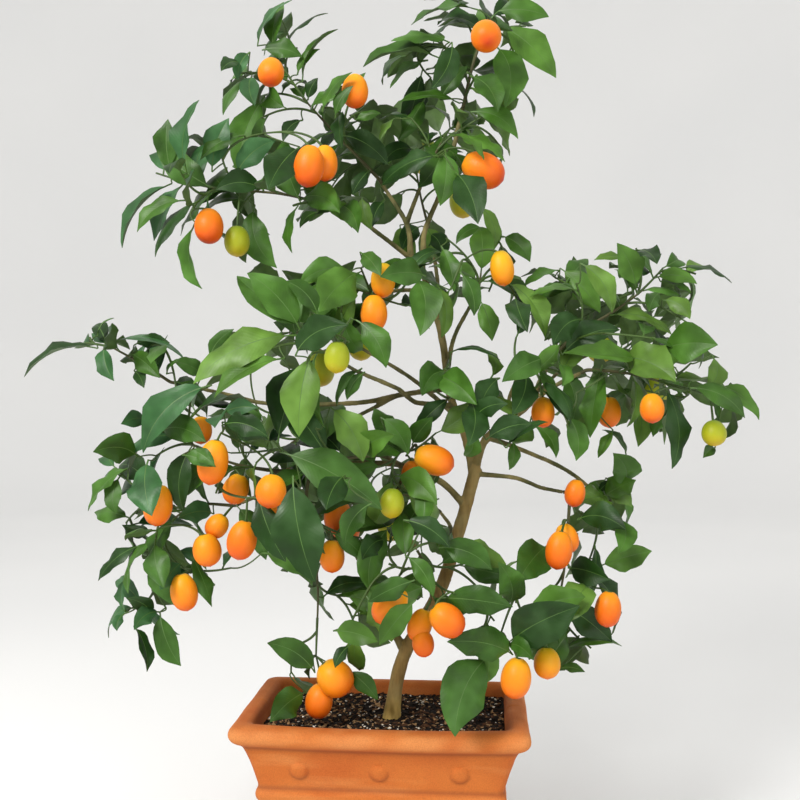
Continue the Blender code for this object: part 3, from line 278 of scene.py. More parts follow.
# Leaves that show whole from the front: base across and up, tip across and up, and the width seen.
SEEN_LEAVES = (
    # top
    (89, 708, 20, 693, 14), (59, 676, 0, 677, 16), (49, 660, -28, 651, 14), (37, 658, -1, 630, 12),
    (61, 676, 40, 629, 24), (104, 706, 158, 701, 24), (109, 693, 165, 640, 32), (104, 673, 114, 610, 34),
    (79, 642, 107, 606, 26), (119, 634, 143, 601, 6), (79, 606, 127, 579, 20), (71, 583, 114, 556, 15),
    (59, 584, 93, 558, 10), (69, 615, 7, 615, 14), (34, 620, 7, 576, 18), (77, 720, 33, 718, 14),
    (4, 600, -11, 578, 8), (49, 618, 77, 652, 16),
    # high left
    (-134, 672, -99, 718, 11), (-108, 663, -63, 705, 8), (-129, 668, -89, 661, 20), (-89, 636, -53, 689, 9),
    (-94, 643, -71, 669, 11), (-141, 666, -153, 638, 15), (-151, 656, -170, 647, 14),
    (-145, 640, -168, 603, 12), (-139, 642, -136, 612, 20), (-126, 621, -154, 546, 30),
    (-69, 606, -39, 646, 13), (-56, 600, -38, 632, 12), (-88, 598, -108, 576, 12), (-83, 618, -73, 640, 12),
    (-36, 598, -10, 605, 10),
    # upper left
    (-204, 544, -192, 618, 22), (-220, 547, -223, 599, 24), (-179, 546, -162, 600, 26),
    (-146, 583, -191, 558, 16), (-155, 543, -115, 578, 24), (-91, 571, -123, 528, 34),
    (-219, 535, -269, 470, 17), (-206, 518, -254, 486, 18), (-191, 518, -236, 461, 18),
    (-127, 528, -175, 528, 24), (-136, 513, -114, 450, 28), (-196, 496, -189, 429, 16),
    (-93, 513, -99, 465, 12), (-91, 518, -51, 505, 26), (-51, 513, -33, 485, 22), (-51, 583, -3, 553, 24),
    (24, 568, -8, 553, 20), (-21, 548, -39, 523, 14), (9, 548, -11, 531, 9),
    # upper middle
    (49, 586, 27, 530, 34), (54, 568, 49, 512, 26), (64, 546, 87, 494, 34), (87, 513, 103, 468, 15),
    (93, 490, 65, 474, 12), (34, 492, 49, 454, 22), (9, 493, 25, 456, 22),
    # centre
    (-91, 388, -144, 445, 34), (-73, 402, -106, 437, 20), (-41, 446, -91, 434, 24),
    (-31, 446, -72, 406, 40), (-96, 362, -43, 393, 32), (-79, 366, -92, 281, 38), (-73, 368, -66, 290, 13),
    (-61, 311, -28, 256, 32), (-35, 398, -5, 350, 26), (-29, 350, -54, 312, 10), (-26, 346, -44, 318, 14),
    (-31, 466, -10, 442, 18), (-9, 432, 25, 450, 28), (24, 442, 29, 382, 32), (-94, 383, -198, 334, 36),
    (-106, 360, -177, 320, 20), (-179, 333, -248, 265, 32), (-111, 266, -9, 208, 40),
    # far left
    (-293, 370, -367, 341, 9), (-280, 375, -206, 358, 9), (-294, 382, -277, 400, 4),
    (-287, 372, -277, 337, 18), (-260, 364, -231, 340, 20), (-257, 373, -221, 375, 14),
    (-257, 347, -247, 330, 13), (-225, 344, -211, 359, 5), (-182, 358, -157, 389, 15),
    # left
    (-253, 261, -298, 266, 30), (-261, 251, -303, 207, 15), (-243, 258, -239, 202, 34),
    (-246, 298, -270, 294, 18), (-231, 286, -185, 276, 28), (-169, 296, -123, 278, 24),
    (-271, 242, -275, 204, 18), (-209, 263, -175, 251, 14), (-249, 173, -293, 137, 14),
    (-236, 178, -227, 130, 26), (-245, 181, -269, 193, 18), (-177, 204, -213, 200, 22),
    (-199, 162, -179, 111, 13), (-209, 156, -231, 128, 20), (-265, 105, -268, 137, 10),
    (-267, 104, -274, 87, 10), (-241, 104, -265, 120, 18), (-231, 106, -257, 88, 18),
    (-231, 106, -210, 52, 26), (-257, 92, -244, 46, 7),
    # lower left
    (-98, 242, -76, 136, 50), (-129, 165, -82, 140, 20), (-133, 226, -105, 156, 28),
    (-46, 243, -65, 208, 30), (-69, 120, -19, 133, 15), (-58, 87, -13, 76, 24), (-43, 48, -13, 18, 18),
    (-76, 45, -124, 75, 28), (-85, 26, -121, -4, 28), (-41, 73, -56, 50, 12),
    # middle
    (4, 242, 46, 213, 28), (12, 198, 59, 170, 22), (47, 170, 101, 148, 27), (117, 112, 107, 156, 28),
    (49, 120, 122, 111, 30), (122, 63, 56, 76, 36), (99, 63, 64, -19, 48), (24, 138, -23, 116, 22),
    (25, 118, -12, 73, 24), (1, 193, -21, 126, 28), (-6, 178, -29, 158, 22), (-19, 215, -46, 173, 22),
    (14, 163, 42, 121, 18), (-11, 301, 17, 263, 22), (21, 273, 42, 301, 20), (-29, 260, 4, 283, 26),
    # right
    (111, 482, 139, 456, 20), (89, 418, 101, 377, 20), (114, 436, 154, 380, 20), (169, 448, 133, 431, 11),
    (186, 428, 139, 421, 9), (169, 450, 209, 405, 24), (189, 455, 221, 405, 22), (234, 460, 203, 458, 10),
    (192, 398, 162, 372, 28), (171, 363, 229, 388, 28), (154, 360, 111, 336, 26), (134, 346, 121, 303, 26),
    (59, 366, 109, 358, 7), (57, 346, 31, 322, 28), (46, 342, 86, 313, 28), (109, 340, 88, 303, 24),
    (79, 318, 77, 272, 28), (169, 348, 179, 290, 24), (176, 303, 185, 257, 22), (211, 353, 199, 280, 18),
    (222, 288, 207, 260, 8), (141, 293, 165, 260, 14), (121, 278, 118, 248, 12), (249, 313, 247, 271, 17),
    (241, 343, 236, 291, 13), (274, 303, 262, 281, 13), (245, 430, 226, 475, 26), (247, 468, 266, 454, 20),
    (264, 440, 306, 434, 15), (289, 450, 341, 435, 9), (269, 437, 300, 425, 9), (271, 418, 299, 399, 18),
    (269, 425, 258, 406, 16), (219, 403, 281, 383, 13), (229, 360, 285, 336, 38), (271, 368, 327, 373, 38),
    (321, 363, 315, 328, 20), (299, 330, 354, 300, 22), (325, 332, 368, 298, 16), (272, 333, 281, 249, 26),
    (324, 270, 312, 260, 10),
    # lower right
    (157, 173, 127, 136, 36), (186, 198, 235, 188, 28), (227, 202, 227, 165, 22), (209, 152, 261, 167, 26),
    (177, 150, 219, 138, 28), (117, 75, 189, 112, 46), (171, 114, 221, 76, 28), (171, 66, 231, 72, 7),
    (169, 50, 194, 46, 9), (231, 230, 222, 265, 28), (209, 228, 241, 211, 18), (116, 73, 142, 58, 18),
    # between them
    (50, 472, 63, 426, 20), (69, 446, 83, 402, 18), (30, 492, 11, 468, 18), (33, 486, 50, 456, 20),
    (46, 434, 50, 380, 16), (-199, 272, -207, 206, 24), (-201, 268, -176, 251, 14),
    (-155, 213, -125, 158, 26), (-169, 293, -123, 281, 24), (-167, 305, -133, 310, 16),
    (95, 278, 141, 294, 24), (83, 298, 117, 314, 20), (115, 270, 157, 296, 9), (213, 222, 245, 238, 26),
    (207, 226, 221, 238, 8), (-91, 528, -49, 505, 20), (-69, 512, -34, 492, 16), (-73, 506, -91, 490, 9),
    (-29, 522, -19, 488, 14), (-6, 518, -19, 490, 14), (35, 442, -11, 441, 27),
)


def nearer_scale(near):
    """The real size of something that the front sees one unit large, at a nearness."""
    return 1 - near * MM / EYE_DISTANCE


def place(across, up, near):
    """The point of the plan in space: what lies nearer to the eye is smaller than it looks."""
    shrink = nearer_scale(near)
    sideways = EYE_ACROSS + (across * MM - EYE_ACROSS) * shrink
    height = EYE_UP + (up * MM - EYE_UP) * shrink
    return FOOT + RIGHT * sideways + NEARER * near * MM + UP * height


def seen(point):
    """The point's across and up on the plan, in millimetres."""
    offset = point - FOOT
    grow = 1 / (1 - seen_nearness(point) / EYE_DISTANCE)
    across = EYE_ACROSS + (offset.dot(RIGHT) - EYE_ACROSS) * grow
    up = EYE_UP + (offset.z - EYE_UP) * grow
    return across / MM, up / MM


def seen_nearness(point):
    return (point - FOOT).dot(NEARER)


def in_open_sky(point):
    across, up = seen(point)
    return any(
        ((across - middle) / half_width) ** 2 + ((up - height) / half_height) ** 2 < 1
        for middle, height, half_width, half_height in OPEN_SKY
    )


# Growth, the same for every limb, shoot and leaf.
SEED = 7
LIMB_STEP = 14 * MM
SHOOT_SPANS = 4
FLARE = 2.6 * MM
FLARE_HEIGHT = 13 * MM
STEM_SHARE = 0.94
SHOOT_THICK = 2.7
SHOOT_THIN = 1.8
STALK_THICK = 2.0
FORK_ANGLE = math.radians(40)
BOWS = 0, 0.16, 0.3
BOW_TURNS = 6
STALK_TRIES = 6
CLIMB_COST = 1.5
SOIL_ROOM = 6 * MM
SIGHT_LENGTH = 150 * MM
SIGHT_SHARE = 0.3

# Leaves set by rule.
GOLDEN_TURN = math.radians(137.5)
TRY_TURN = math.radians(47)
LEAF_GAP = 15 * MM
TIP_LEAVES = 3
LEAFY_STEM = 0.75
LEAFY_SHOOT = 0.95
LEAF_TRIES = 5
TIP_LEAN = 0.35, 0.6
SIDE_LEAN = 0.85, 1.15
LIFT = -0.15, 0.45
LIGHT_SPREAD = 0.3
BACK_FROM = -60 * MM
LEAF_SCALE = 0.8, 1.25
TIP_SCALE = 0.85
BREADTH = 0.34, 0.45
DROOP = 0.6, 1.8
TWIST = 0.6
SWEEP = 0.4
SPRAY_GREENS = (0, 0, 1, 1, 2, 3, 3, 4)
BLUER_GREENS = (0, 1, 3, 5, 5, 5)
BLUER_FROM = -120

# Leaves that the front shows whole, in millimetres. A leaf's width is this share of its length, from
# the narrowest to the broadest.
NARROWEST = 0.36
BROADEST = 0.5
SEEN_DROOP = 0.5
EDGE_DROOP = 1.1
SEEN_SWEEP = 0.15, 0.65
SEEN_TWIST = 0.25
UPRIGHT = 0.15
CROWN_MIDDLE = 20

# How much a twig's nearness makes up for its distance when a leaf takes its twig.
NEARER_FIRST = 0.12

# How far a leaf's base is ahead of its twig, and its tip ahead of its base.
SPUR_AHEAD = 4
LARGEST_SEEN = 50
LARGEST_AHEAD = 88
TIP_AHEAD = 4, 12
MOST_AHEAD = 30

# A leaf over a fruit's middle, within this share of its width, hangs this share ahead of it. The leaf
# covers the fruit with these shares of its length.
FRUIT_HIDDEN = 0.38
FRUIT_CLEAR = 0.62
COVERING = 0.5, 0.65, 0.8, 0.95

# How close to a leaf or fruit that shows whole the front sees the leaves that are set by rule.
SEEN_REACH = 11
FRUIT_REACH = 17
SEEN_STARTS = np.array(SEEN_LEAVES)[:, 0:2].astype(float)
SEEN_ENDS = np.array(SEEN_LEAVES)[:, 2:4].astype(float)
SEEN_FRUIT = np.array([fruit[:2] for mass in MASSES for fruit in mass.fruits], float)

Branch = namedtuple("Branch", "path radii")
Berry = namedtuple("Berry", "mass middle axis wide long ripe stalk")
Leaf = namedtuple("Leaf", "mass base heading face length width droop twist sweep green spur")


def smooth_path(places, span_steps=None):
    """A smooth curve through the places: this many steps from each to the next, or steps of LIMB_STEP."""
    ends = [2 * places[0] - places[1], *places, 2 * places[-1] - places[-2]]
    path = []
    for before, start, end, after in zip(ends, ends[1:], ends[2:], ends[3:]):
        steps = span_steps or max(1, round((end - start).length / LIMB_STEP))
        for step in range(steps):
            t = step / steps
            path.append(
                start
                + (end - before) * (t / 2)
                + (2 * before - 5 * start + 4 * end - after) * (t * t / 2)
                + (3 * start - before - 3 * end + after) * (t**3 / 2)
            )
    return [*path, places[-1]]


def lengths_along(path):
    lengths = [0.0]
    for start, end in zip(path, path[1:]):
        lengths.append(lengths[-1] + (end - start).length)
    return lengths


def point_along(path, length):
    """The point at a length along the path, and the way that the path goes there."""
    lengths = lengths_along(path)
    for start, end, before, after in zip(path, path[1:], lengths, lengths[1:]):
        if length <= after:
            break
    return start.lerp(end, (length - before) / (after - before)), (end - start).normalized()


def nearest_on(path, point):
    spots = []
    for start, end in zip(path, path[1:]):
        span = end - start
        share = (point - start).dot(span) / span.length_squared
        spots.append(start + span * min(max(share, 0), 1))
    return min(spots, key=lambda spot: (spot - point).length)


def tapered(path, thick, thin):
    """A radius for each point of the path, from its two thicknesses in millimetres."""
    lengths = lengths_along(path)
    return [(thick + (thin - thick) * length / lengths[-1]) * MM / 2 for length in lengths]


def loft(rings):
    """A closed body over the rings, as points and faces."""
    return [point for ring in rings for point in ring], skin_faces(len(rings), len(rings[0]))


def tube(path, radii, sides):
    rings = []
    heading = path[1] - path[0]
    side = heading.cross(UP if abs(heading.normalized().z) < 0.9 else RIGHT)
    for index, middle in enumerate(path):
        heading = (path[min(index + 1, len(path) - 1)] - path[max(index - 1, 0)]).normalized()
        side = (side - heading * side.dot(heading)).normalized()
        other = heading.cross(side)
        turns = [math.tau * corner / sides for corner in range(sides)]
        rays = [side * math.cos(turn) + other * math.sin(turn) for turn in turns]
        rings.append([middle + ray * radii[index] for ray in rays])
    return loft(rings)


def midrib(leaf, share):
    """The point at a share of the leaf's arched length, and the ways along, across and up there."""
    bend = leaf.droop * share
    curve = leaf.length / leaf.droop
    point = leaf.base + leaf.heading * (curve * math.sin(bend))
    point -= leaf.face * (curve * (1 - math.cos(bend)))
    along = leaf.heading * math.cos(bend) - leaf.face * math.sin(bend)
    up = leaf.face * math.cos(bend) + leaf.heading * math.sin(bend)
    aside = leaf.heading.cross(leaf.face) * leaf.sweep
    point += aside * (leaf.length * share * (1 - share))
    along = (along + aside * (1 - 2 * share)).normalized()
    up = (up - along * up.dot(along)).normalized()
    up.rotate(Matrix.Rotation(leaf.twist * share, 3, along))
    return point, along, along.cross(up), up


def leaf_room(leaf, start, end):
    """The space that a stretch of the leaf needs, a little more than the leaf fills."""
    rings = []
    for share in (start, start + (end - start) * 0.4, start + (end - start) * 0.75, end):
        point, _, across, up = midrib(leaf, share)
        half = 0.56 * leaf.width * math.sin(math.pi * min(max(share, 0.06), 0.97)) ** 0.7 + 0.6 * MM
        under, over = point - up * 1.6 * MM, point + up * 1.4 * MM
        rings.append([point + across * half, under, point - across * half, over])
    return loft(rings)


def berry_room(berry, spare):
    """The space of a fruit, as a tube along its axis whose radii follow an ellipse."""
    steps = [-0.98, -0.8, -0.4, 0, 0.4, 0.8, 0.98]
    path = [berry.middle + berry.axis * (step * (berry.long / 2 + spare)) for step in steps]
    radii = [(berry.wide / 2 + spare) * math.sqrt(1 - step * step) for step in steps]
    return tube(path, radii, 8)


class Space:
    """The pieces that have their places, to test whether a new piece would touch one."""

    def __init__(self):
        self.taken = []

    @staticmethod
    def ball(points):
        middle = sum(points, Vector()) / len(points)
        return middle, max((point - middle).length for point in points)

    def add(self, kind, owner, shape):
        self.taken.append((kind, owner, *self.ball(shape[0]), BVHTree.FromPolygons(*shape)))

    def touches(self, shape, matters):
        """Whether the shape touches a piece whose kind and owner matter."""
        middle, reach = self.ball(shape[0])
        tree = None
        for kind, owner, other_middle, other_reach, other_tree in self.taken:
            if (other_middle - middle).length > other_reach + reach or not matters(kind, owner):
                continue
            tree = tree or BVHTree.FromPolygons(*shape)
            if tree.overlap(other_tree):
                return True
        return False


def grow_limbs(space):
    """The trunk and the boughs, by name, each from its parent's middle line."""
    limbs = {}
    for limb in LIMBS:
        places = [place(*spot) for spot in limb.places]
        if limb.parent:
            places[0] = nearest_on(limbs[limb.parent].path, places[0])
        path = smooth_path(places)
        radii = tapered(path, limb.thick, limb.thin)
        if not limb.parent:
            heights = [max(0, point.z - SOIL_Z) for point in path]
            flares = [FLARE * math.exp(-height / FLARE_HEIGHT) for height in heights]
            radii = [radius + flare for radius, flare in zip(radii, flares)]
        limbs[limb.name] = Branch(path, radii)
        space.add("limb", limb.name, tube(path, [radius + CLEAR for radius in radii], 6))
    return limbs


def stem_of(mass, limb):
    """The mass's stem, which carries on from its bough's tip."""
    heading = (limb.path[-1] - limb.path[-2]).normalized()
    start = limb.path[-1] + heading * CLEAR
    places = [start, start + heading * 6 * MM, *(place(*spot) for spot in mass.stem)]
    path = smooth_path(places)
    thick = limb.radii[-1] * 2 / MM * STEM_SHARE
    return Branch(path, tapered(path, thick, SHOOT_THIN))


def fork_for(tip, branches):
    """Where a shoot for this tip leaves the mass's branches: near it, and at an easy angle."""
    best = None
    for branch in branches:
        for start, end in zip(branch.path[1:], branch.path[2:]):
            heading = (end - start).normalized()
            spot = start.lerp(end, 0.5)
            off = (tip - spot).angle(heading) - FORK_ANGLE
            cost = (tip - spot).length * (1 + off * off)
            if best is None or cost < best[0]:
                best = cost, spot, heading
    return best[1:]


def bowed(start, heading, end, sideways):
    """A path that leaves along its heading and bends to its end."""
    reach = (end - start).length
    bend = start + heading * (reach * 0.45) + sideways * reach
    shares = [step / SHOOT_SPANS for step in range(SHOOT_SPANS + 1)]
    return [start * (1 - t) ** 2 + bend * (2 * t * (1 - t)) + end * t * t for t in shares]


def clear_path(mass, start, heading, end, space, own_kinds):
    """The first bow of a path from start to end that touches nothing, or None."""
    way = (end - start).normalized()
    leave = (heading + way).normalized()
    side = way.cross(UP).normalized()
    over = side.cross(way)
    for size in BOWS:
        for turn in range(BOW_TURNS if size else 1):
            angle = math.tau * turn / BOW_TURNS
            path = bowed(start, leave, end, (side * math.cos(angle) + over * math.sin(angle)) * size)
            reach = (end - start).length
            rest = [point_along(path, share * reach)[0] for share in (0.16, 0.5, 0.8, 0.98)]
            ahead = tube(rest, [SHOOT_THICK * MM / 2 + CLEAR] * 4, 6)
            whole = tube(path, [SHOOT_THICK * MM / 2 + CLEAR] * len(path), 6)
            if space.touches(ahead, lambda kind, owner: owner == mass and kind in own_kinds):
                continue
            if not space.touches(whole, lambda kind, owner: owner != mass and kind != "sight"):
                return path
    return None


def berry_of(mass, fruit):
    lean, swing = math.radians(fruit.lean), math.radians(fruit.swing)
    upright = UP * math.cos(swing) - NEARER * math.sin(swing)
    axis = upright * math.cos(lean) + RIGHT * math.sin(lean)
    middle = place(fruit.across, fruit.up, fruit.near)
    wide, long = [size * MM * nearer_scale(fruit.near) for size in (fruit.wide, fruit.long)]
    return Berry(mass.name, middle, axis, wide, long, fruit.ripe, None)


def grow_fruit(space):
    """The fruits, each with the space it fills and the line along which the front sees it."""
    berries = [berry_of(mass, Fruit(*fruit)) for mass in MASSES for fruit in mass.fruits]
    for berry in berries:
        space.add("fruit", berry.mass, berry_room(berry, CLEAR * 2))
        start = berry.middle + NEARER * berry.wide / 2
        sight = [start, start + NEARER * SIGHT_LENGTH]
        space.add("sight", berry.mass, tube(sight, [berry.wide * SIGHT_SHARE] * 2, 6))
    return berries


def grow_shoots(limbs, space):
    """Each mass's branches: its stem, then a shoot for each tip."""
    branches = {}
    for mass in MASSES:
        stem = stem_of(mass, limbs[mass.limb + "_bough"])
        branches[mass.name] = [stem]
        space.add("stem", mass.name, tube(stem.path, [radius + CLEAR for radius in stem.radii], 6))
    for mass in MASSES:
        for spot in mass.tips:
            tip = place(*spot)
            start, heading = fork_for(tip, branches[mass.name])
            path = clear_path(mass.name, start, heading, tip, space, ("fruit", "shoot"))
            if path is None:
                continue
            shoot = Branch(path, tapered(path, SHOOT_THICK, SHOOT_THIN))
            branches[mass.name].append(shoot)
            space.add("shoot", mass.name, tube(path, [radius + CLEAR for radius in shoot.radii], 6))
    return branches


def grow_stalks(berries, branches, space):
    """The fruits again, each with a stalk from its stem end to its mass's nearest branch."""
    stalked = []
    for berry in berries:
        top = berry.middle + berry.axis * berry.long / 2
        spots = []
        for branch in branches[berry.mass]:
            for start, end in zip(branch.path[1:], branch.path[2:]):
                spot = nearest_on([start, end], top)
                below = max(0, top.z - spot.z)
                spots.append(((spot - top).length + CLIMB_COST * below, spot))
        spots.sort(key=lambda choice: choice[0])
        for _, spot in spots[:STALK_TRIES]:
            root = berry.middle + berry.axis * berry.long * 0.4
            stalk = clear_path(berry.mass, root, berry.axis, spot, space, ())
            if stalk:
                shape = tube(stalk[1:], [STALK_THICK * MM / 2] * SHOOT_SPANS, 4)
                space.add("stalk", berry.mass, shape)
                stalked.append(berry._replace(stalk=stalk))
                break
    return stalked


def spray_green(across, rng):
    """Which of the leaf colours a spray takes: bluer ones at the left side."""
    return rng.choice(BLUER_GREENS if across < BLUER_FROM else SPRAY_GREENS)


def leaf_at(mass, base, heading, turn, at_tip, green, rng):
    """A leaf whose upper face turns to the light and whose blade arches down."""
    first = heading.cross(UP if abs(heading.z) < 0.9 else RIGHT).normalized()
    second = heading.cross(first)
    lean = rng.uniform(*(TIP_LEAN if at_tip else SIDE_LEAN))
    aside = first * math.cos(turn) + second * math.sin(turn)
    way = heading * math.cos(lean) + aside * math.sin(lean)
    way = (way + UP * rng.uniform(*LIFT)).normalized()
    outward = Vector((base.x - FOOT_X, base.y, 0)).normalized()
    behind = seen_nearness(base) < BACK_FROM
    light = UP * 0.6 + outward * 0.5 + NEARER * (-0.5 if behind else 0.45)
    light += Vector([rng.uniform(-LIGHT_SPREAD, LIGHT_SPREAD) for _ in range(3)])
    face = (light - way * light.dot(way)).normalized()
    length = mass.leaf * MM * rng.uniform(*LEAF_SCALE) * (TIP_SCALE if at_tip else 1)
    width = length * rng.uniform(*BREADTH)
    droop, twist = rng.uniform(*DROOP), rng.uniform(-TWIST, TWIST)
    sweep = rng.uniform(-SWEEP, SWEEP)
    return Leaf(mass.name, base, way, face, length, width, droop, twist, sweep, green, None)


def twigs_as_seen(branches):
    """Each span of the masses' branches, with its ends as the front sees them and its nearness."""
    spans = []
    for mass, own in branches.items():
        for branch in own:
            for start, end in zip(branch.path, branch.path[1:]):
                flat = [Vector((*seen(point), 0)) for point in (start, end)]
                spans.append((mass, start, end, *flat, seen_nearness(start) / MM))
    return spans


def twig_behind(across, up, spans):
    """The mass and the spot on its twigs that the front sees at a place, the nearer ones first."""
    here = Vector((across, up, 0))
    best = None
    for mass, start, end, flat_start, flat_end, near in spans:
        span = flat_end - flat_start
        share = min(max((here - flat_start).dot(span) / span.length_squared, 0), 1)
        cost = (flat_start.lerp(flat_end, share) - here).length - near * NEARER_FIRST
        if best is None or cost < best[0]:
            best = cost, mass, start.lerp(end, share)
    return best[1:]


def before_fruit(start, end, near, berries):
    """The nearness at which a leaf between two seen places clears the fruits that it hides."""
    for berry in berries:
        middle = Vector(seen(berry.middle))
        apart = min((start.lerp(end, share) - middle).length for share in COVERING)
        if apart < FRUIT_HIDDEN * berry.wide / MM:
            near = max(near, (seen_nearness(berry.middle) + berry.wide * FRUIT_CLEAR) / MM)
    return near


def seen_leaf(across, up, tip_across, tip_up, wide, spans, berries, rng):
    """A leaf between two places of the plan. One that is seen narrower than leaves are stands on edge, and
    one that is seen far broader hangs far to the front."""
    mass, root = twig_behind(across, up, spans)
    near = seen_nearness(root) / MM + (LARGEST_AHEAD if wide >= LARGEST_SEEN else SPUR_AHEAD)
    near = before_fruit(Vector((across, up)), Vector((tip_across, tip_up)), near, berries)
    lean = (wide / BROADEST) ** 2 - (tip_across - across) ** 2 - (tip_up - up) ** 2
    ahead = min(math.sqrt(max(0, lean)), MOST_AHEAD) + rng.uniform(*TIP_AHEAD)
    base, tip = place(across, up, near), place(tip_across, tip_up, near + ahead)
    chord = tip - base
    way = chord.normalized()
    wide *= MM * nearer_scale(near)
    width = max(wide, NARROWEST * chord.length)
    front = min(1, wide / width)
    toward = (NEARER - way * NEARER.dot(way)).normalized()
    above = toward.cross(way)
    spreads = above.z > -UPRIGHT and above.dot(RIGHT) * (across - CROWN_MIDDLE) > 0
    if above.z < UPRIGHT and not spreads:
        above = -above
    face = toward * front + above * math.sqrt(1 - front * front)
    droop = SEEN_DROOP + EDGE_DROOP * (1 - front)
    heading = way * math.cos(droop / 2) + face * math.sin(droop / 2)
    upper = face * math.cos(droop / 2) - way * math.sin(droop / 2)
    length = chord.length * (droop / 2) / math.sin(droop / 2)
    side = heading.cross(upper)
    outward = UP * 2 + RIGHT * (1 if across > CROWN_MIDDLE else -1)
    sweep = math.copysign(rng.uniform(*SEEN_SWEEP) * front, side.dot(outward))
    twist = rng.uniform(-SEEN_TWIST, SEEN_TWIST)
    spur = bowed(root, (heading + UP * 0.3).normalized(), base, Vector())
    green = spray_green(across, rng)
    return Leaf(mass, base, heading, upper, length, width, droop, twist, sweep, green, spur)


def grow_seen_leaves(branches, berries, space):
    """The leaves that the front shows whole, each with the lines along which it is seen."""
    rng = random.Random(SEED)
    spans = twigs_as_seen(branches)
    leaves = [seen_leaf(*spot, spans, berries, rng) for spot in SEEN_LEAVES]
    for leaf in leaves:
        space.add("leaf", leaf.mass, leaf_room(leaf, 0.3, 0.95))
        for share in (0.35, 0.65, 0.9):
            start, _, _, up = midrib(leaf, share)
            reach = leaf.width * 0.36 * max(0.2, up.dot(NEARER)) * (1 if share < 0.9 else 0.6)
            start = start + NEARER * 3 * MM
            sight = [start, start + NEARER * SIGHT_LENGTH]
            space.add("sight", leaf.mass, tube(sight, [reach] * 2, 6))
    return leaves


def behind_seen(point):
    """Whether the front sees the point close to a leaf that shows whole, or to a fruit."""
    here = np.array(seen(point))
    spans = SEEN_ENDS - SEEN_STARTS
    shares = np.clip(((here - SEEN_STARTS) * spans).sum(axis=1) / (spans**2).sum(axis=1), 0, 1)
    apart = np.linalg.norm(SEEN_STARTS + spans * shares[:, None] - here, axis=1)
    return apart.min() < SEEN_REACH or np.linalg.norm(SEEN_FRUIT - here, axis=1).min() < FRUIT_REACH


def has_room(leaf, space):
    """Whether the leaf shuts no open sky, clears the soil and touches only its own mass's twigs."""
    samples = [midrib(leaf, share) for share in (0.45, 0.75, 1)]
    sides = [across * leaf.width * 0.4 for _, _, across, _ in samples]
    outline = [sample[0] + side * step for sample, side in zip(samples, sides) for step in (-1, 0, 1)]
    if any(in_open_sky(point) for point in [leaf.base, *outline]):
        return False
    if not all(behind_seen(point) for point, *_ in samples):
        return False
    if min(point.z for point in outline) < SOIL_Z + SOIL_ROOM:
        return False
    if space.touches(leaf_room(leaf, 0.25, 1.0), lambda kind, owner: True):
        return False
    root = leaf_room(leaf, 0, 0.3)
    return not space.touches(root, lambda kind, owner: kind in ("limb", "fruit"))


def grow_leaves(branches, berries, space):
    """The leaves, set round each branch from its tip back, each where it has room."""
    leaves = grow_seen_leaves(branches, berries, space)
    for order, mass in enumerate(MASSES):
        rng = random.Random(SEED * 1000 + order)
        for branch in branches[mass.name]:
            is_stem = branch is branches[mass.name][0]
            total = lengths_along(branch.path)[-1]
            leafy = total * (LEAFY_STEM if is_stem else LEAFY_SHOOT)
            turn = rng.uniform(0, math.tau)
            green = spray_green(seen(branch.path[0])[0], rng)
            back = 0.5 * MM
            number = 0
            while back < leafy:
                base, heading = point_along(branch.path, total - back)
                for attempt in range(LEAF_TRIES):
                    spin = turn + attempt * TRY_TURN
                    leaf = leaf_at(mass, base, heading, spin, number == 0, green, rng)
                    if has_room(leaf, space):
                        leaves.append(leaf)
                        space.add("leaf", mass.name, leaf_room(leaf, 0.3, 0.95))
                        break
                turn += GOLDEN_TURN + rng.uniform(-0.3, 0.3)
                number += 1
                back += LEAF_GAP * (0.5 if number < TIP_LEAVES else 1) * rng.uniform(0.85, 1.15)
    return leaves


def grow_tree():
    """The limbs, the masses' branches, the fruits and the leaves."""
    space = Space()
    limbs = grow_limbs(space)
    berries = grow_fruit(space)
    branches = grow_shoots(limbs, space)
    berries = grow_stalks(berries, branches, space)
    return limbs, branches, berries, grow_leaves(branches, berries, space)


# Making meshes.
SMOOTH_ANGLE = math.radians(55)
TWIG_STEPS = 4


def new_object(name, data):
    thing = bpy.data.objects.new(name, data)
    bpy.context.scene.collection.objects.link(thing)
    return thing


class Shell:
    """Points and faces gathered for one mesh, each face with its finish and each point with a UV."""

    def __init__(self):
        self.points, self.faces, self.finishes, self.uvs = [], [], [], []
        self.count = 0

    def add(self, points, faces, finish, uvs=None):
        """Adds a part. The finish is one for all its faces, or one for each."""
        points = np.asarray(points, float)
        self.faces += [tuple(corner + self.count for corner in face) for face in faces]
        self.finishes += [finish] * len(faces) if isinstance(finish, int) else list(finish)
        self.points.append(points)
        self.uvs.append(np.zeros((len(points), 2)) if uvs is None else np.asarray(uvs, float))
        self.count += len(points)

    def piece(self, name, finishes, sharp=SMOOTH_ANGLE):
        mesh = bpy.data.meshes.new(name)
        mesh.from_pydata(np.concatenate(self.points).tolist(), [], self.faces)
        for finish in finishes:
            mesh.materials.append(finish)
        mesh.polygons.foreach_set("material_index", self.finishes)
        corners = np.empty(len(mesh.loops), int)
        mesh.loops.foreach_get("vertex_index", corners)
        layer = mesh.uv_layers.new(name="UVMap")
        layer.data.foreach_set("uv", np.concatenate(self.uvs)[corners].ravel())
        mesh.shade_smooth()
        mesh.set_sharp_from_angle(angle=sharp)
        return new_object(name, mesh)


def mark(mesh, name, values):
    """Gives each point of the mesh a number that its finish reads."""
    mesh.attributes.new(name, "FLOAT", "POINT").data.foreach_set("value", values)


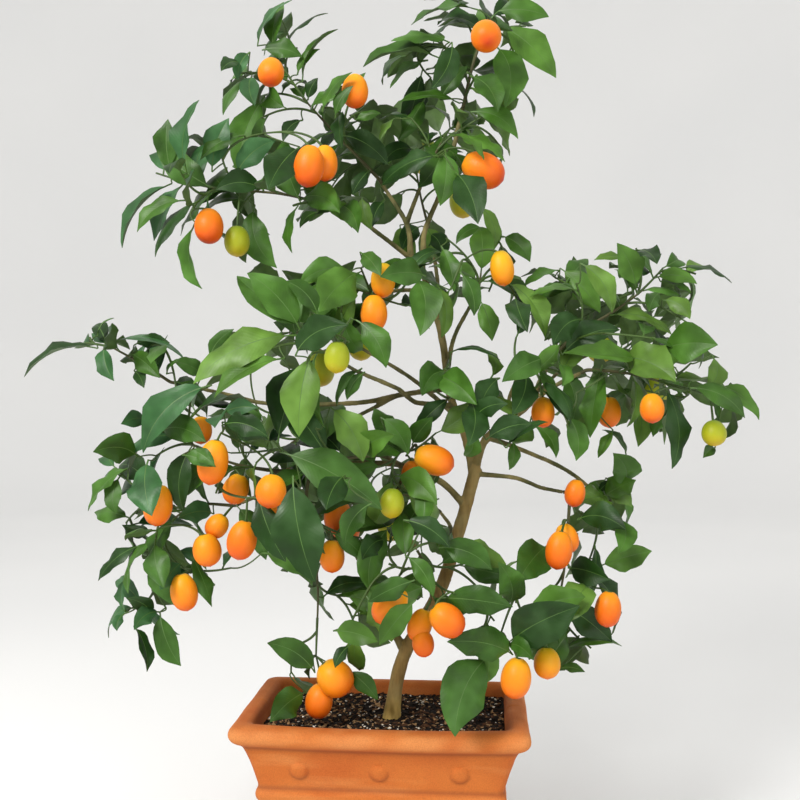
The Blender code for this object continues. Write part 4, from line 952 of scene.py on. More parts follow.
def grid_faces(rows, columns, closed=False):
    """The faces of a grid of points, row after row, round each row too if it is closed."""
    across = columns if closed else columns - 1
    return [
        (row * columns + step, row * columns + (step + 1) % columns,
         (row + 1) * columns + (step + 1) % columns, (row + 1) * columns + step)
        for row in range(rows - 1)
        for step in range(across)
    ]


def skin_faces(rings, size, shut=True):
    """The faces of a skin over rings of points, with a floor, and with a lid if it is shut."""
    faces = grid_faces(rings, size, closed=True) + [tuple(range(size))[::-1]]
    return faces + [tuple(range((rings - 1) * size, rings * size))] if shut else faces


def lathe(outline, sides):
    """A round body from (radius, height) places, from its foot up, with UVs that run round and up."""
    turns = np.linspace(0, math.tau, sides, endpoint=False)
    radii, heights = np.array(outline).T
    points = np.stack([
        np.outer(radii, np.cos(turns)), np.outer(radii, np.sin(turns)),
        np.repeat(heights[:, None], sides, axis=1),
    ], axis=-1).reshape(-1, 3)
    along = np.linspace(0, 1, len(outline))
    uvs = np.stack(np.meshgrid(turns / math.tau, along), axis=-1).reshape(-1, 2)
    return points, skin_faces(len(outline), sides), uvs


def placed(points, middle, axis, spin=0.0):
    """Points moved so that their +Z runs along the axis."""
    turn = axis.to_track_quat("Z", "Y").to_matrix() @ Matrix.Rotation(spin, 3, "Z")
    return np.asarray(points) @ np.array(turn).T + np.array(middle)


def fine(path, radii, steps):
    """A smooth path with this many steps for each of the path's, and its radii."""
    shares = np.arange((len(radii) - 1) * steps + 1) / steps
    return smooth_path(path, steps), np.interp(shares, np.arange(len(radii)), radii).tolist()


# Finishes. Base colours are linear.
LEAF_GREENS = (
    (0.030, 0.086, 0.008), (0.040, 0.110, 0.010), (0.056, 0.138, 0.014),
    (0.012, 0.042, 0.005), (0.078, 0.160, 0.020), (0.030, 0.098, 0.028),
)
RIB_GREEN = (0.062, 0.145, 0.018)
LEAF_UNDER = (0.070, 0.140, 0.026)
VEIN_SLANT = 0.42
VEIN_RATE = 62.0
SHOOT_GREEN = (0.046, 0.096, 0.010)
STEM_BROWN = (0.066, 0.066, 0.016)
# Ramps from the stalk end to the blossom end. The ripe and deep ones hold the fruit's ripening colour,
# darkened towards the blossom end, the fruit's lower end, as painted shade.
RIPE_SHADED_BELOW = (
    (0.0, (0.80, 0.43, 0.010)), (0.35, (0.80, 0.275, 0.006)),
    (0.75, (0.76, 0.155, 0.004)), (1.0, (0.56, 0.05, 0.003)),
)
DEEP_SHADED_BELOW = (
    (0.0, (0.80, 0.32, 0.007)), (0.4, (0.75, 0.175, 0.004)),
    (0.8, (0.66, 0.085, 0.003)), (1.0, (0.48, 0.036, 0.003)),
)
TURNING = ((0.0, (0.34, 0.33, 0.010)), (0.3, (0.72, 0.38, 0.008)), (1.0, (0.76, 0.15, 0.004)))
CLAY = (0.53, 0.145, 0.024)
CLAY_RED = (0.44, 0.092, 0.013)
CLAY_SANDY = (0.66, 0.265, 0.080)
# The dark clay of the painted shade in the pot's grooves, inside it and under its studs.
CLAY_SHADE = (0.20, 0.048, 0.013)
YOUNG_BARK = (0.070, 0.076, 0.018)
OLD_BARK = (0.33, 0.200, 0.055)
GREEN_FRUIT = ((0.0, (0.15, 0.23, 0.010)), (0.6, (0.34, 0.36, 0.012)), (1.0, (0.54, 0.35, 0.010)))


class Finish:
    """A procedural material whose nodes are wired by short calls."""

    def __init__(self, name, roughness, **plain):
        self.material = bpy.data.materials.new(name)
        self.material.use_nodes = True
        self.tree = self.material.node_tree
        self.shader = self.tree.nodes["Principled BSDF"]
        self.set("Roughness", roughness)
        for socket, value in plain.items():
            self.set(socket.replace("_", " "), value)

    def set(self, socket, value):
        """Sets a socket of the shader to a value, or links it to a node's output."""
        self.feed(self.shader.inputs[socket], value)

    def feed(self, socket, value):
        if isinstance(value, bpy.types.NodeSocket):
            self.tree.links.new(value, socket)
        elif isinstance(value, tuple) and len(value) == 3 and socket.type == "RGBA":
            socket.default_value = (*value, 1)
        else:
            socket.default_value = value

    def node(self, kind, inputs=(), **settings):
        node = self.tree.nodes.new("ShaderNode" + kind)
        for name, value in settings.items():
            setattr(node, name, value)
        for socket, value in dict(inputs).items():
            self.feed(node.inputs[socket], value)
        return node

    def coordinates(self, kind):
        return self.node("TexCoord").outputs[kind]

    def noise(self, scale, detail, stretch=None):
        """Grey noise with this many features a metre, more or fewer along an axis that is stretched."""
        where = self.coordinates("Object")
        if stretch:
            where = self.node("Mapping", {"Vector": where, "Scale": stretch}).outputs["Vector"]
        return self.node("TexNoise", {"Vector": where, "Scale": scale, "Detail": detail}).outputs["Fac"]

    def cells(self, scale):
        inputs = {"Vector": self.coordinates("Object"), "Scale": scale}
        return self.node("TexVoronoi", inputs).outputs["Distance"]

    def attribute(self, name):
        return self.node("Attribute", attribute_name=name).outputs["Fac"]

    def ramp(self, factor, stops):
        """Colours or greys by factor, from (place, value) stops."""
        node = self.node("ValToRGB", {"Fac": factor})
        line = node.color_ramp.elements
        while len(line) < len(stops):
            line.new(1)
        for element, (place_on_ramp, value) in zip(line, stops):
            element.position = place_on_ramp
            element.color = (*value, 1) if isinstance(value, tuple) else (value, value, value, 1)
        return node.outputs["Color"]

    def mix(self, factor, first, second, blend="MIX"):
        node = self.node("Mix", data_type="RGBA", blend_type=blend)
        for place_in, value in ((0, factor), (6, first), (7, second)):
            self.feed(node.inputs[place_in], value)
        return node.outputs[2]

    def maths(self, operation, first, second=0.0):
        return self.node("Math", {0: first, 1: second}, operation=operation).outputs[0]

    def bump(self, height, strength, depth, under=None):
        """A relief from a height, in metres of depth, over another relief if one is given."""
        node = self.node("Bump", {"Height": height, "Strength": strength, "Distance": depth})
        if under is not None:
            self.feed(node.inputs["Normal"], under)
        return node.outputs["Normal"]

    def surface(self):
        """The UV's numbers: from 0 to 1 across or round a leaf or fruit, and from 0 to 1 along it."""
        split = self.node("SeparateXYZ", {"Vector": self.coordinates("UV")})
        return split.outputs["X"], split.outputs["Y"]


def leaf_finish(name, colour):
    finish = Finish(name, 0.42, Specular_IOR_Level=0.22)
    pale = tuple(channel * 1.5 + 0.01 for channel in colour)
    dark = tuple(channel * 0.62 for channel in colour)
    finish.set("Base Color", finish.ramp(finish.noise(38, 2), ((0.3, dark), (0.5, colour), (0.72, pale))))
    finish.set("Roughness", finish.ramp(finish.noise(90, 2), ((0.3, 0.34), (0.7, 0.5))))
    across, along = finish.surface()
    aside = finish.maths("ABSOLUTE", finish.maths("SUBTRACT", across, 0.5))
    slant = finish.maths("SUBTRACT", along, finish.maths("MULTIPLY", aside, VEIN_SLANT))
    veins = finish.maths("SINE", finish.maths("MULTIPLY", slant, VEIN_RATE))
    veins = finish.maths("POWER", finish.maths("ABSOLUTE", veins), 3.0)
    relief = finish.bump(veins, 0.15, 0.25 * MM)
    finish.set("Normal", finish.bump(finish.noise(420, 2), 0.25, 0.25 * MM, relief))
    return finish.material


def plain_green(name, colour, roughness):
    """A green with faint mottling, for a rib, an underside or a shoot."""
    finish = Finish(name, roughness)
    dark = tuple(channel * 0.72 for channel in colour)
    finish.set("Base Color", finish.ramp(finish.noise(70, 2), ((0.35, dark), (0.65, colour))))
    finish.set("Normal", finish.bump(finish.noise(600, 2), 0.3, 0.2 * MM))
    return finish.material


def fruit_finish(name, stops):
    finish = Finish(name, 0.44, Specular_IOR_Level=0.26, Subsurface_Weight=0.06, Subsurface_Scale=0.004)
    finish.shader.inputs["Subsurface Radius"].default_value = (1.0, 0.35, 0.08)
    along = finish.surface()[1]
    # Colour along the fruit from the stalk end down: ripening colour, and in the ripe and deep ramps painted
    # shade that deepens the lower, blossom end.
    shade = finish.maths("ADD", along, finish.maths("MULTIPLY", finish.noise(60, 2), 0.24))
    shade = finish.maths("SUBTRACT", shade, 0.12)
    finish.set("Base Color", finish.ramp(shade, stops))
    pores = finish.ramp(finish.cells(700), ((0.0, 0.0), (0.4, 1.0)))
    relief = finish.bump(pores, 0.55, 0.3 * MM)
    finish.set("Normal", finish.bump(finish.noise(160, 2), 0.25, 0.5 * MM, relief))
    return finish.material


def bark_finish():
    finish = Finish("bark", 0.8)
    colour = finish.mix(finish.attribute("age"), YOUNG_BARK, OLD_BARK)
    streaks = finish.noise(260, 4, stretch=(1, 1, 0.22))
    colour = finish.mix(0.55, colour, finish.ramp(streaks, ((0.3, 0.35), (0.6, 1.0))), "MULTIPLY")
    patches = finish.ramp(finish.noise(48, 3), ((0.42, 0.0), (0.7, 0.6)))
    colour = finish.mix(patches, colour, (0.36, 0.29, 0.11))
    foot = finish.maths("MULTIPLY", finish.attribute("foot"), 0.9)
    pale_streaks = finish.ramp(streaks, ((0.3, (0.34, 0.22, 0.05)), (0.6, (0.60, 0.42, 0.12))))
    colour = finish.mix(foot, colour, pale_streaks)
    finish.set("Base Color", colour)
    relief = finish.bump(streaks, 0.5, 0.5 * MM)
    finish.set("Normal", finish.bump(finish.noise(900, 3), 0.35, 0.3 * MM, relief))
    return finish.material


def terracotta_finish():
    finish = Finish("terracotta", 0.82, Specular_IOR_Level=0.3)
    colour = finish.mix(finish.ramp(finish.noise(14, 4), ((0.4, 0.0), (0.7, 0.8))), CLAY, CLAY_RED)
    smears = finish.noise(22, 5, stretch=(0.45, 0.45, 2.6))
    colour = finish.mix(finish.ramp(smears, ((0.5, 0.0), (0.75, 0.55))), colour, CLAY_SANDY)
    colour = finish.mix(finish.maths("MULTIPLY", finish.attribute("wear"), 0.6), colour, CLAY_SANDY)
    # Painted shade: the shade attribute darkens the clay in the grooves, inside the pot and under the studs.
    colour = finish.mix(finish.maths("MULTIPLY", finish.attribute("shade"), 0.6), colour, CLAY_SHADE)
    grain = finish.noise(900, 3)
    colour = finish.mix(0.35, colour, finish.ramp(grain, ((0.35, 0.55), (0.6, 1.0))), "MULTIPLY")
    finish.set("Base Color", colour)
    relief = finish.bump(smears, 0.35, 0.9 * MM)
    relief = finish.bump(finish.noise(120, 4), 0.3, 0.6 * MM, relief)
    finish.set("Normal", finish.bump(grain, 0.3, 0.25 * MM, relief))
    return finish.material


def crumb_finish(name, colour, spread):
    finish = Finish(name, 0.9, Specular_IOR_Level=0.15)
    dark = tuple(channel * (1 - spread) for channel in colour)
    pale = tuple(channel * (1 + spread) for channel in colour)
    finish.set("Base Color", finish.ramp(finish.noise(300, 3), ((0.3, dark), (0.7, pale))))
    finish.set("Normal", finish.bump(finish.noise(1200, 3), 0.5, 0.4 * MM))
    return finish.material


# Leaves.
LEAF_ROWS = (0, 0.05, 0.10, 0.15, 0.22, 0.31, 0.41, 0.52, 0.63, 0.74, 0.84, 0.93, 1)
LEAF_COLUMNS = (-1, -0.72, -0.4, -0.05, 0.05, 0.4, 0.72, 1)
PETIOLE_SHARE = 0.1
PETIOLE_HALF = 0.65 * MM
BLADE_THICK = 0.35 * MM
RIB_THICK = 0.9 * MM
PETIOLE_THICK = 1.2 * MM
EDGE_WAVE = 0.08
FOLD = 0.12, 0.55
CURL = 0.05, 0.5
WAVE = 0.08, 0.3
BEATS = 1.4, 2.8
BLADE_SHAPE = 0.88
TIP_HALF = 0.15 * MM
RIB_HALF = 0.4 * MM
RIB_PLACE, UNDER_PLACE = len(LEAF_GREENS), len(LEAF_GREENS) + 1


def leaf_template():
    """A leaf's faces and what each is: None on the upper blade, or its rib's or underside's place."""
    rows, columns = len(LEAF_ROWS), len(LEAF_COLUMNS)
    above = np.arange(rows * columns).reshape(rows, columns)
    below = above.copy()
    below[:, 1:-1] = rows * columns + np.arange(rows * (columns - 2)).reshape(rows, columns - 2)
    faces, kinds = [], []
    for row in range(rows - 1):
        for step in range(columns - 1):
            on_stalk = LEAF_ROWS[row] < PETIOLE_SHARE
            corners = (row, step), (row, step + 1), (row + 1, step + 1), (row + 1, step)
            faces.append([above[corner] for corner in corners])
            kinds.append(RIB_PLACE if on_stalk or step == columns // 2 - 1 else None)
            faces.append([below[corners[index]] for index in (0, 3, 2, 1)])
            kinds.append(RIB_PLACE if on_stalk else UNDER_PLACE)
    faces.append((*above[0, ::-1], *below[0, 1:-1]))
    faces.append((*above[-1], *below[-1, -2:0:-1]))
    kinds += [RIB_PLACE, UNDER_PLACE]
    return [tuple(int(corner) for corner in face) for face in faces], kinds


def leaf_points(leaf, rng):
    """The points of a leaf: a folded, curled and waved blade on a short stalk, over its underside."""
    share = np.array(LEAF_ROWS)
    blade = np.clip((share - PETIOLE_SHARE) / (1 - PETIOLE_SHARE), 0, 1)
    half = leaf.width / 2 * np.sin(np.pi * blade**BLADE_SHAPE) + PETIOLE_HALF * (1 - blade)
    half[-1] = TIP_HALF
    fold, curl, wave = rng.uniform(*FOLD), rng.uniform(*CURL), rng.uniform(*WAVE)
    phases = rng.uniform(0, math.tau), rng.uniform(0, math.tau)
    beats = rng.uniform(*BEATS)
    side = np.repeat(np.array(LEAF_COLUMNS)[None, :], len(share), axis=0)
    rib = np.clip(RIB_HALF * (1.2 - share) / np.maximum(half, RIB_HALF), 0.015, 0.5)
    side[:, 3], side[:, 4] = -rib, rib
    off = np.abs(side)
    ripples = [np.sin(math.tau * beats * share + phase)[:, None] for phase in phases]
    ripple = np.where(side < 0, *ripples)
    lift = half[:, None] * (fold * off - curl * off**2 + wave * off**2 * ripple)
    thick = np.interp(share, (0, PETIOLE_SHARE, PETIOLE_SHARE * 1.8, 1), (1, 1, 0, 0))
    middle = [midrib(leaf, step) for step in share]
    centre, _, across, up = [np.array(each)[:, None, :] for each in zip(*middle)]
    reach = side * half[:, None] * (1 + EDGE_WAVE * ripple)
    top = centre + across * reach[:, :, None] + up * lift[:, :, None]
    depth = BLADE_THICK + (RIB_THICK - BLADE_THICK) * np.exp(-((off / 0.12) ** 2))
    depth = depth + (PETIOLE_THICK - depth) * thick[:, None]
    under = top - up * depth[:, :, None]
    return np.concatenate([top.reshape(-1, 3), under[:, 1:-1].reshape(-1, 3)])


def leaf_uvs():
    across, along = np.meshgrid((np.array(LEAF_COLUMNS) + 1) / 2, LEAF_ROWS)
    every = np.stack([across, along], axis=-1)
    return np.concatenate([every.reshape(-1, 2), every[:, 1:-1].reshape(-1, 2)])


def leaves_piece(mass, leaves, finishes):
    faces, kinds = leaf_template()
    uvs = leaf_uvs()
    shell = Shell()
    for order, leaf in enumerate(leaves):
        rng = random.Random(f"{mass.name}_foliage {order}")
        own_kinds = [leaf.green if kind is None else kind for kind in kinds]
        shell.add(leaf_points(leaf, rng), faces, own_kinds, uvs)
    return shell.piece(mass.name + "_leaves", finishes)


# Fruit, twigs and stalks.
FRUIT_SIDES = 28
FRUIT_RINGS = 18
FRUIT_SHAPE = 0.92
STALK_END_SLIMMER = 0.05
DIMPLE = 0.07
DIMPLE_REACH = 0.2
POINT = 0.6 * MM
POLE = 0.012
TWIG_SIDES = 8
HOLD = 5 * MM
CALYX_RADIUS = 3.4
CALYX_SUNK = 0.6 * MM
GREEN_BELOW = 0.3
TURNING_BELOW = 0.7
SPUR_RADIUS = 0.75 * MM


def fruit_shape(berry, rng):
    """A plump oval with a dimple at its stalk and a small point at its other end, stalk end up."""
    outline = []
    plump = rng.uniform(0.96, 1.06)
    for step in range(FRUIT_RINGS + 1):
        turn = math.pi * step / FRUIT_RINGS
        height = -math.cos(turn)
        radius = math.sin(turn) ** FRUIT_SHAPE * (1 - STALK_END_SLIMMER * height * plump)
        height *= 1 - DIMPLE * math.exp(-((radius / DIMPLE_REACH) ** 2)) if height > 0 else 1
        outline.append((max(radius, POLE) * berry.wide / 2, height * berry.long / 2))
    outline[0] = (POLE * berry.wide / 2, outline[0][1] - POINT)
    return lathe(outline, FRUIT_SIDES)


def fruit_piece(mass, berries, finishes):
    shell = Shell()
    for order, berry in enumerate(berries):
        rng = random.Random(f"{mass.name}_foliage fruit {order}")
        points, faces, uvs = fruit_shape(berry, rng)
        points = points * np.array([rng.uniform(0.97, 1.03), rng.uniform(0.97, 1.03), 1])
        uvs = np.stack([uvs[:, 0], 1 - uvs[:, 1]], axis=-1)
        kind = 3 if berry.ripe < GREEN_BELOW else 2 if berry.ripe < TURNING_BELOW else rng.choice((0, 0, 1))
        shell.add(placed(points, berry.middle, berry.axis, rng.uniform(0, math.tau)), faces, kind, uvs)
    return shell.piece(mass.name + "_fruit", finishes)


def calyx_shape(berry, rng):
    """The small green star that holds the fruit."""
    points, lobes = [], 5
    for ring, (reach, down) in enumerate(((0.35, -0.4), (1.0, 0.35), (0.9, 0.95), (0.3, 0.5))):
        for step in range(lobes * 4):
            turn = math.tau * step / (lobes * 4)
            lobe = 0.74 + 0.26 * math.cos(lobes * turn)
            radius = CALYX_RADIUS * reach * (lobe if ring in (1, 2) else 1)
            points.append((radius * math.cos(turn) * MM, radius * math.sin(turn) * MM, -down * MM))
    faces = [face[::-1] for face in skin_faces(4, lobes * 4, shut=False)]
    top = berry.middle + berry.axis * (berry.long / 2 - CALYX_SUNK)
    return placed(points, top, berry.axis, rng.uniform(0, math.tau)), faces


def fine_tube(path, radii, steps):
    return tube(*fine(path, radii, steps), TWIG_SIDES)


def bearing_twigs(branches, berries, leaves):
    """The branches from the last back, fine, each cut beyond the last thing that grows on it, if any."""
    spots = [leaf.spur[0] if leaf.spur else leaf.base for leaf in leaves]
    spots += [berry.stalk[-1] for berry in berries]
    bearing = []
    for branch in reversed(branches):
        path, radii = fine(*branch, TWIG_STEPS)
        held = [any((point - spot).length < HOLD for spot in spots) for point in path]
        last = max((step for step, holds in enumerate(held) if holds), default=0)
        if last:
            spots.append(branch.path[0])
            bearing.append((path[:last + 2], radii[:last + 2]))
    return bearing


def twigs_piece(mass, branches, berries, leaves, finishes):
    shell = Shell()
    for path, radii in bearing_twigs(branches, berries, leaves):
        shell.add(*tube(path, radii, TWIG_SIDES), 1 if path[0] == branches[0].path[0] else 0)
    for leaf in leaves:
        if leaf.spur:
            radii = np.linspace(SPUR_RADIUS, PETIOLE_HALF, len(leaf.spur))
            shell.add(*fine_tube(leaf.spur, radii.tolist(), 2), 0)
    for order, berry in enumerate(berries):
        rng = random.Random(f"{mass.name}_foliage stalk {order}")
        radii = np.linspace(STALK_THICK * 0.62, STALK_THICK * 0.42, len(berry.stalk)) * MM
        shell.add(*fine_tube(berry.stalk, radii.tolist(), 3), 0)
        shell.add(*calyx_shape(berry, rng), 0)
    return shell.piece(mass.name + "_twigs", finishes)


# Limbs.
VOXEL = 1.15 * MM
LIMB_SIDES = 14
SMOOTHING = 3
COLLAR = 0.28
COLLAR_LENGTH = 9 * MM
YOUNG_RADIUS = 2.2 * MM
AGEING = 5.5 * MM
FOOT_FROM = 12 * MM
FOOT_FADE = 14 * MM


def collared(limb, order):
    """The limb's fine path and radii, swollen where it leaves its parent."""
    path, radii = fine(*limb, TWIG_STEPS)
    lengths = lengths_along(path)
    if order:
        swells = [1 + COLLAR * math.exp(-length / COLLAR_LENGTH) for length in lengths]
        radii = [radius * swell for radius, swell in zip(radii, swells)]
    return path, radii


def nearest_limb(points, limbs):
    """For each point: how far along its limb it lies, the limb's radius there and the turn round it."""
    best = np.full(len(points), np.inf)
    found = np.zeros((len(points), 3))
    for order, limb in enumerate(limbs.values()):
        path = np.array(limb.path)
        lengths = np.array(lengths_along(limb.path))
        for index in range(len(path) - 1):
            span = path[index + 1] - path[index]
            share = np.clip((points - path[index]) @ span / (span @ span), 0, 1)
            off = points - (path[index] + share[:, None] * span)
            radius = limb.radii[index] + (limb.radii[index + 1] - limb.radii[index]) * share
            apart = np.linalg.norm(off, axis=1) / radius
            closer = apart < best
            best[closer] = apart[closer]
            first = np.cross(span / np.linalg.norm(span), (0.3, 0.2, 0.93))
            first /= np.linalg.norm(first)
            second = np.cross(span / np.linalg.norm(span), first)
            turn = np.arctan2(off @ second, off @ first)
            along = lengths[index] + share * np.linalg.norm(span) + order
            found[closer] = np.stack([along, radius, turn], axis=1)[closer]
    return found


def bark_relief(along, radius, turn):
    """How far the bark stands out there: long furrows on old wood, low rings and nodes on young."""
    spot = Vector((math.cos(turn) * 1.6, math.sin(turn) * 1.6, along * 45))
    furrows = noise.fractal(spot, 0.7, 2.1, 4) * 0.45
    knots = max(0.0, noise.noise(Vector((math.cos(turn), math.sin(turn), along * 70 + 9))) - 0.2) * 1.3
    rings = noise.noise(Vector((5, 7, along * 240))) * 0.16
    return (furrows * min(1, radius / (7 * MM)) + knots * 0.7 + rings) * MM


def bark_piece(limbs, finish):
    shell = Shell()
    for order, limb in enumerate(limbs.values()):
        path, radii = collared(limb, order)
        shell.add(*tube(path, radii, LIMB_SIDES), 0)
    rough = shell.piece("bark", [finish])
    remesh = rough.modifiers.new("one skin", "REMESH")
    remesh.mode = "VOXEL"
    remesh.voxel_size = VOXEL
    relax = rough.modifiers.new("soft forks", "SMOOTH")
    relax.factor = 0.5
    relax.iterations = SMOOTHING
    bpy.context.view_layer.update()
    mesh = bpy.data.meshes.new_from_object(rough.evaluated_get(bpy.context.evaluated_depsgraph_get()))
    bpy.data.objects.remove(rough)
    count = len(mesh.vertices)
    points, normals = np.empty(count * 3), np.empty(count * 3)
    mesh.vertices.foreach_get("co", points)
    mesh.vertices.foreach_get("normal", normals)
    points, normals = points.reshape(-1, 3), normals.reshape(-1, 3)
    found = nearest_limb(points, limbs)
    rise = np.array([bark_relief(*row) for row in found.tolist()])
    points += normals * rise[:, None]
    points[:, 2] = np.maximum(points[:, 2], SOIL_Z - 2 * MM)
    mesh.vertices.foreach_set("co", points.ravel())
    mark(mesh, "age", np.clip((found[:, 1] - YOUNG_RADIUS) / AGEING, 0, 1))
    mark(mesh, "foot", np.clip(1 - (points[:, 2] - SOIL_Z - FOOT_FROM) / FOOT_FADE, 0, 1))
    mesh.materials.clear()
    mesh.materials.append(finish)
    mesh.shade_smooth()
    return new_object("bark", mesh)


# The pot.
RIM_STEP = 2 * MM
CORNER_STEPS = 7
PROFILE_STEP = 2
RIM_SAG = 3.2 * MM
SAG_FADES = 60
WOBBLE = 0.7 * MM
# Where painted shade darkens the grooves, in millimetres below the rim's top; INSIDE_SHADE is the flat
# painted shade inside the pot.
GROOVES = 21, 63.5, 80
INNER_FROM = 0.6
LIP_INSET = 16
INSIDE_SHADE = 0.35


def fine_profile():
    """The pot's outline from its underside up, over the rim and down inside, in small steps."""
    corners = [Vector((down, inset, 0)) for down, inset in POT_OUTSIDE + POT_INSIDE]
    line = []
    for start, end in zip(corners, corners[1:]):
        steps = max(1, round((end - start).length / PROFILE_STEP))
        line += [start.lerp(end, step / steps) for step in range(steps)]
    line.append(corners[-1])
    for _ in range(2):
        inner = [(before + here * 2 + after) / 4 for before, here, after in zip(line, line[1:], line[2:])]
        line = [line[0], *inner, line[-1]]
    return [(spot.x, spot.y) for spot in line]


def outline_at(inset, down):
    """The pot's rounded rectangle at a height, in small steps, with the way out at each point."""
    half_x, half_y = (RIM_LONG / 2 - inset) * MM, (RIM_SHORT / 2 - inset) * MM
    radius = (CORNER - inset * 0.1) * MM
    spots = []
    sides = ((1, 1, 0), (-1, 1, 1), (-1, -1, 2), (1, -1, 3))
    for x_side, y_side, quarter in sides:
        centre = Vector((x_side * (half_x - radius), y_side * (half_y - radius), (POT_HEIGHT - down) * MM))
        for step in range(CORNER_STEPS + 1):
            angle = math.pi / 2 * (quarter + step / CORNER_STEPS)
            out = Vector((math.cos(angle), math.sin(angle), 0))
            spots.append((centre + out * radius, out))
        after_x, after_y, _ = sides[(quarter + 1) % 4]
        next_centre = Vector((after_x * (half_x - radius), after_y * (half_y - radius), centre.z))
        length = RIM_LONG * MM if after_y == y_side else RIM_SHORT * MM
        steps = round(length / RIM_STEP)
        for step in range(1, steps):
            spots.append(((centre + out * radius).lerp(next_centre + out * radius, step / steps), out))
    return spots


def stud_at(point, out, down):
    """How far a stud stands out at this place on the pot's neck, and how much painted shadow darkens the clay
    round it, most below it.
    """
    if abs(out.x) + abs(out.y) > 1.001 or abs(down - STUD_DOWN) > STUD_RADIUS * 1.5:
        return 0, 0
    across, places_along = (point.x, (-1, 0, 1)) if abs(out.y) > 0.5 else (point.y, (-0.5, 0.5))
    off = min(abs(across / MM - step * STUD_GAP) for step in places_along)
    apart = math.hypot(off, down - STUD_DOWN) / STUD_RADIUS
    rise = STUD_RISE * MM * math.sqrt(1 - apart**3) if apart < 1 else 0
    # Painted shadow: a dark ring round the stud, strongest on its lower side, where a shadow falls.
    stud_shadow = math.exp(-(((apart - 1.08) / 0.16) ** 2)) * (0.3 + 0.5 * (down - STUD_DOWN) / STUD_RADIUS)
    return rise, min(1, max(0, stud_shadow))


def pot_piece(finish):
    profile = fine_profile()
    rows, wear, shade = [], [], []
    for index, (down, inset) in enumerate(profile):
        inside = index > len(profile) * INNER_FROM and inset > LIP_INSET
        for point, out in outline_at(inset, down):
            rise, stud_shadow = (0, 0) if inside else stud_at(point, out, down)
            wobble = noise.noise(point * 22) * WOBBLE + noise.noise(point * 90) * WOBBLE * 0.3
            moved = point + out * (rise + wobble - WOBBLE * 0.5)
            if point.y < 0:
                span = 1 - (point.x / (RIM_LONG / 2 * MM)) ** 2
                moved.z -= RIM_SAG * max(0, span) * max(0, 1 - down / SAG_FADES)
            rows.append(moved)
            outer = math.exp(-((inset - 1) / 4.5) ** 2) * (0.55 + 0.9 * noise.noise(point * 45))
            lip = math.exp(-((down - 0.5) / 2.0) ** 2) * 0.5 * (0.5 + noise.noise(point * 70))
            wear.append(min(1, max(0, outer, lip)))
            # Painted shade in the grooves under the rim and round the bead, plus a flat painted shade inside
            # the pot.
            groove_shade = sum(math.exp(-(((down - place) / 2.2) ** 2)) for place in GROOVES)
            shade.append(INSIDE_SHADE if inside else min(1, groove_shade + stud_shadow))
    columns = len(rows) // len(profile)
    shell = Shell()
    shell.add([tuple(point) for point in rows], skin_faces(len(profile), columns, shut=False), 0)
    piece = shell.piece("fired_pot", [finish])
    mark(piece.data, "wear", wear)
    mark(piece.data, "shade", shade)
    return piece


# The soil.
SOIL_STEP = 2.2 * MM
SOIL_ROUGH = 2.6 * MM
CHIPS = 2600
PERLITE = 480
CHIP_SIZES = (1.1, 4.2), (0.8, 2.2), (0.7, 1.9)
GRAIN_SIZES = (0.7, 2.2), (0.7, 1.9), (0.6, 1.6)
SOIL_INSET = 22.6


def soil_height(x, y):
    """The rough top of the soil, a little higher in the middle and at the back."""
    spot = Vector((x, y, 0))
    lumps = noise.noise(spot * 60) * 0.7 + noise.noise(spot * 170) * 0.5 + noise.noise(spot * 420) * 0.3
    mound = 1.5 * MM * math.exp(-((x / 0.06) ** 2 + (y / 0.04) ** 2))
    heap = 4 * MM * min(1, max(0, (y - 10 * MM) / (45 * MM)))
    return SOIL_Z - 0.5 * MM + mound + heap + lumps * SOIL_ROUGH


def soil_reach():
    """Half the soil's length and width, just inside the pot's walls."""
    return (RIM_LONG / 2 - SOIL_INSET) * MM, (RIM_SHORT / 2 - SOIL_INSET) * MM


def soil_piece(finish):
    half_x, half_y = soil_reach()
    across = np.linspace(-half_x, half_x, round(2 * half_x / SOIL_STEP))
    deep = np.linspace(-half_y, half_y, round(2 * half_y / SOIL_STEP))
    points = [(x, y, soil_height(x, y)) for y in deep for x in across]
    shell = Shell()
    shell.add(points, grid_faces(len(deep), len(across)), 0)
    return shell.piece("soil_top", [finish])


def crumb_shape(size, rng):
    """An uneven six-sided crumb, as points and faces."""
    points = []
    for height, reach in ((-0.5, 0.5), (-0.1, 1), (0.25, 0.9), (0.5, 0.35)):
        for step in range(6):
            turn = math.tau * step / 6 + rng.uniform(-0.25, 0.25)
            bulge = reach * rng.uniform(0.75, 1.15)
            across, deep = math.cos(turn) * bulge, math.sin(turn) * bulge
            points.append((across * size[0], deep * size[1], height * size[2]))
    return points, skin_faces(4, 6)


def crumbs_piece(name, count, sizes, finishes, seed):
    """Crumbs strewn on the soil, each a different size and turned its own way."""
    rng = random.Random(seed)
    half_x, half_y = soil_reach()
    shell = Shell()
    for _ in range(count):
        x, y = rng.uniform(-half_x, half_x) * 0.985, rng.uniform(-half_y, half_y) * 0.98
        size = [rng.uniform(*span) * MM for span in sizes]
        points, faces = crumb_shape(size, rng)
        tilt = Vector((rng.uniform(-0.6, 0.6), rng.uniform(-0.6, 0.6), 1)).normalized()
        middle = Vector((x, y, soil_height(x, y) + size[2] * 0.25))
        shell.add(placed(points, middle, tilt, rng.uniform(0, math.tau)), faces, rng.randrange(len(finishes)))
    return shell.piece(name, finishes, sharp=math.radians(40))


# The room: a pale round floor and wall, soft lights and the camera.
LENS = 45
SENSOR = 36
ROOM_RADIUS = 5.0
ROOM_BEND = 1.2
ROOM_HEIGHT = 3.6


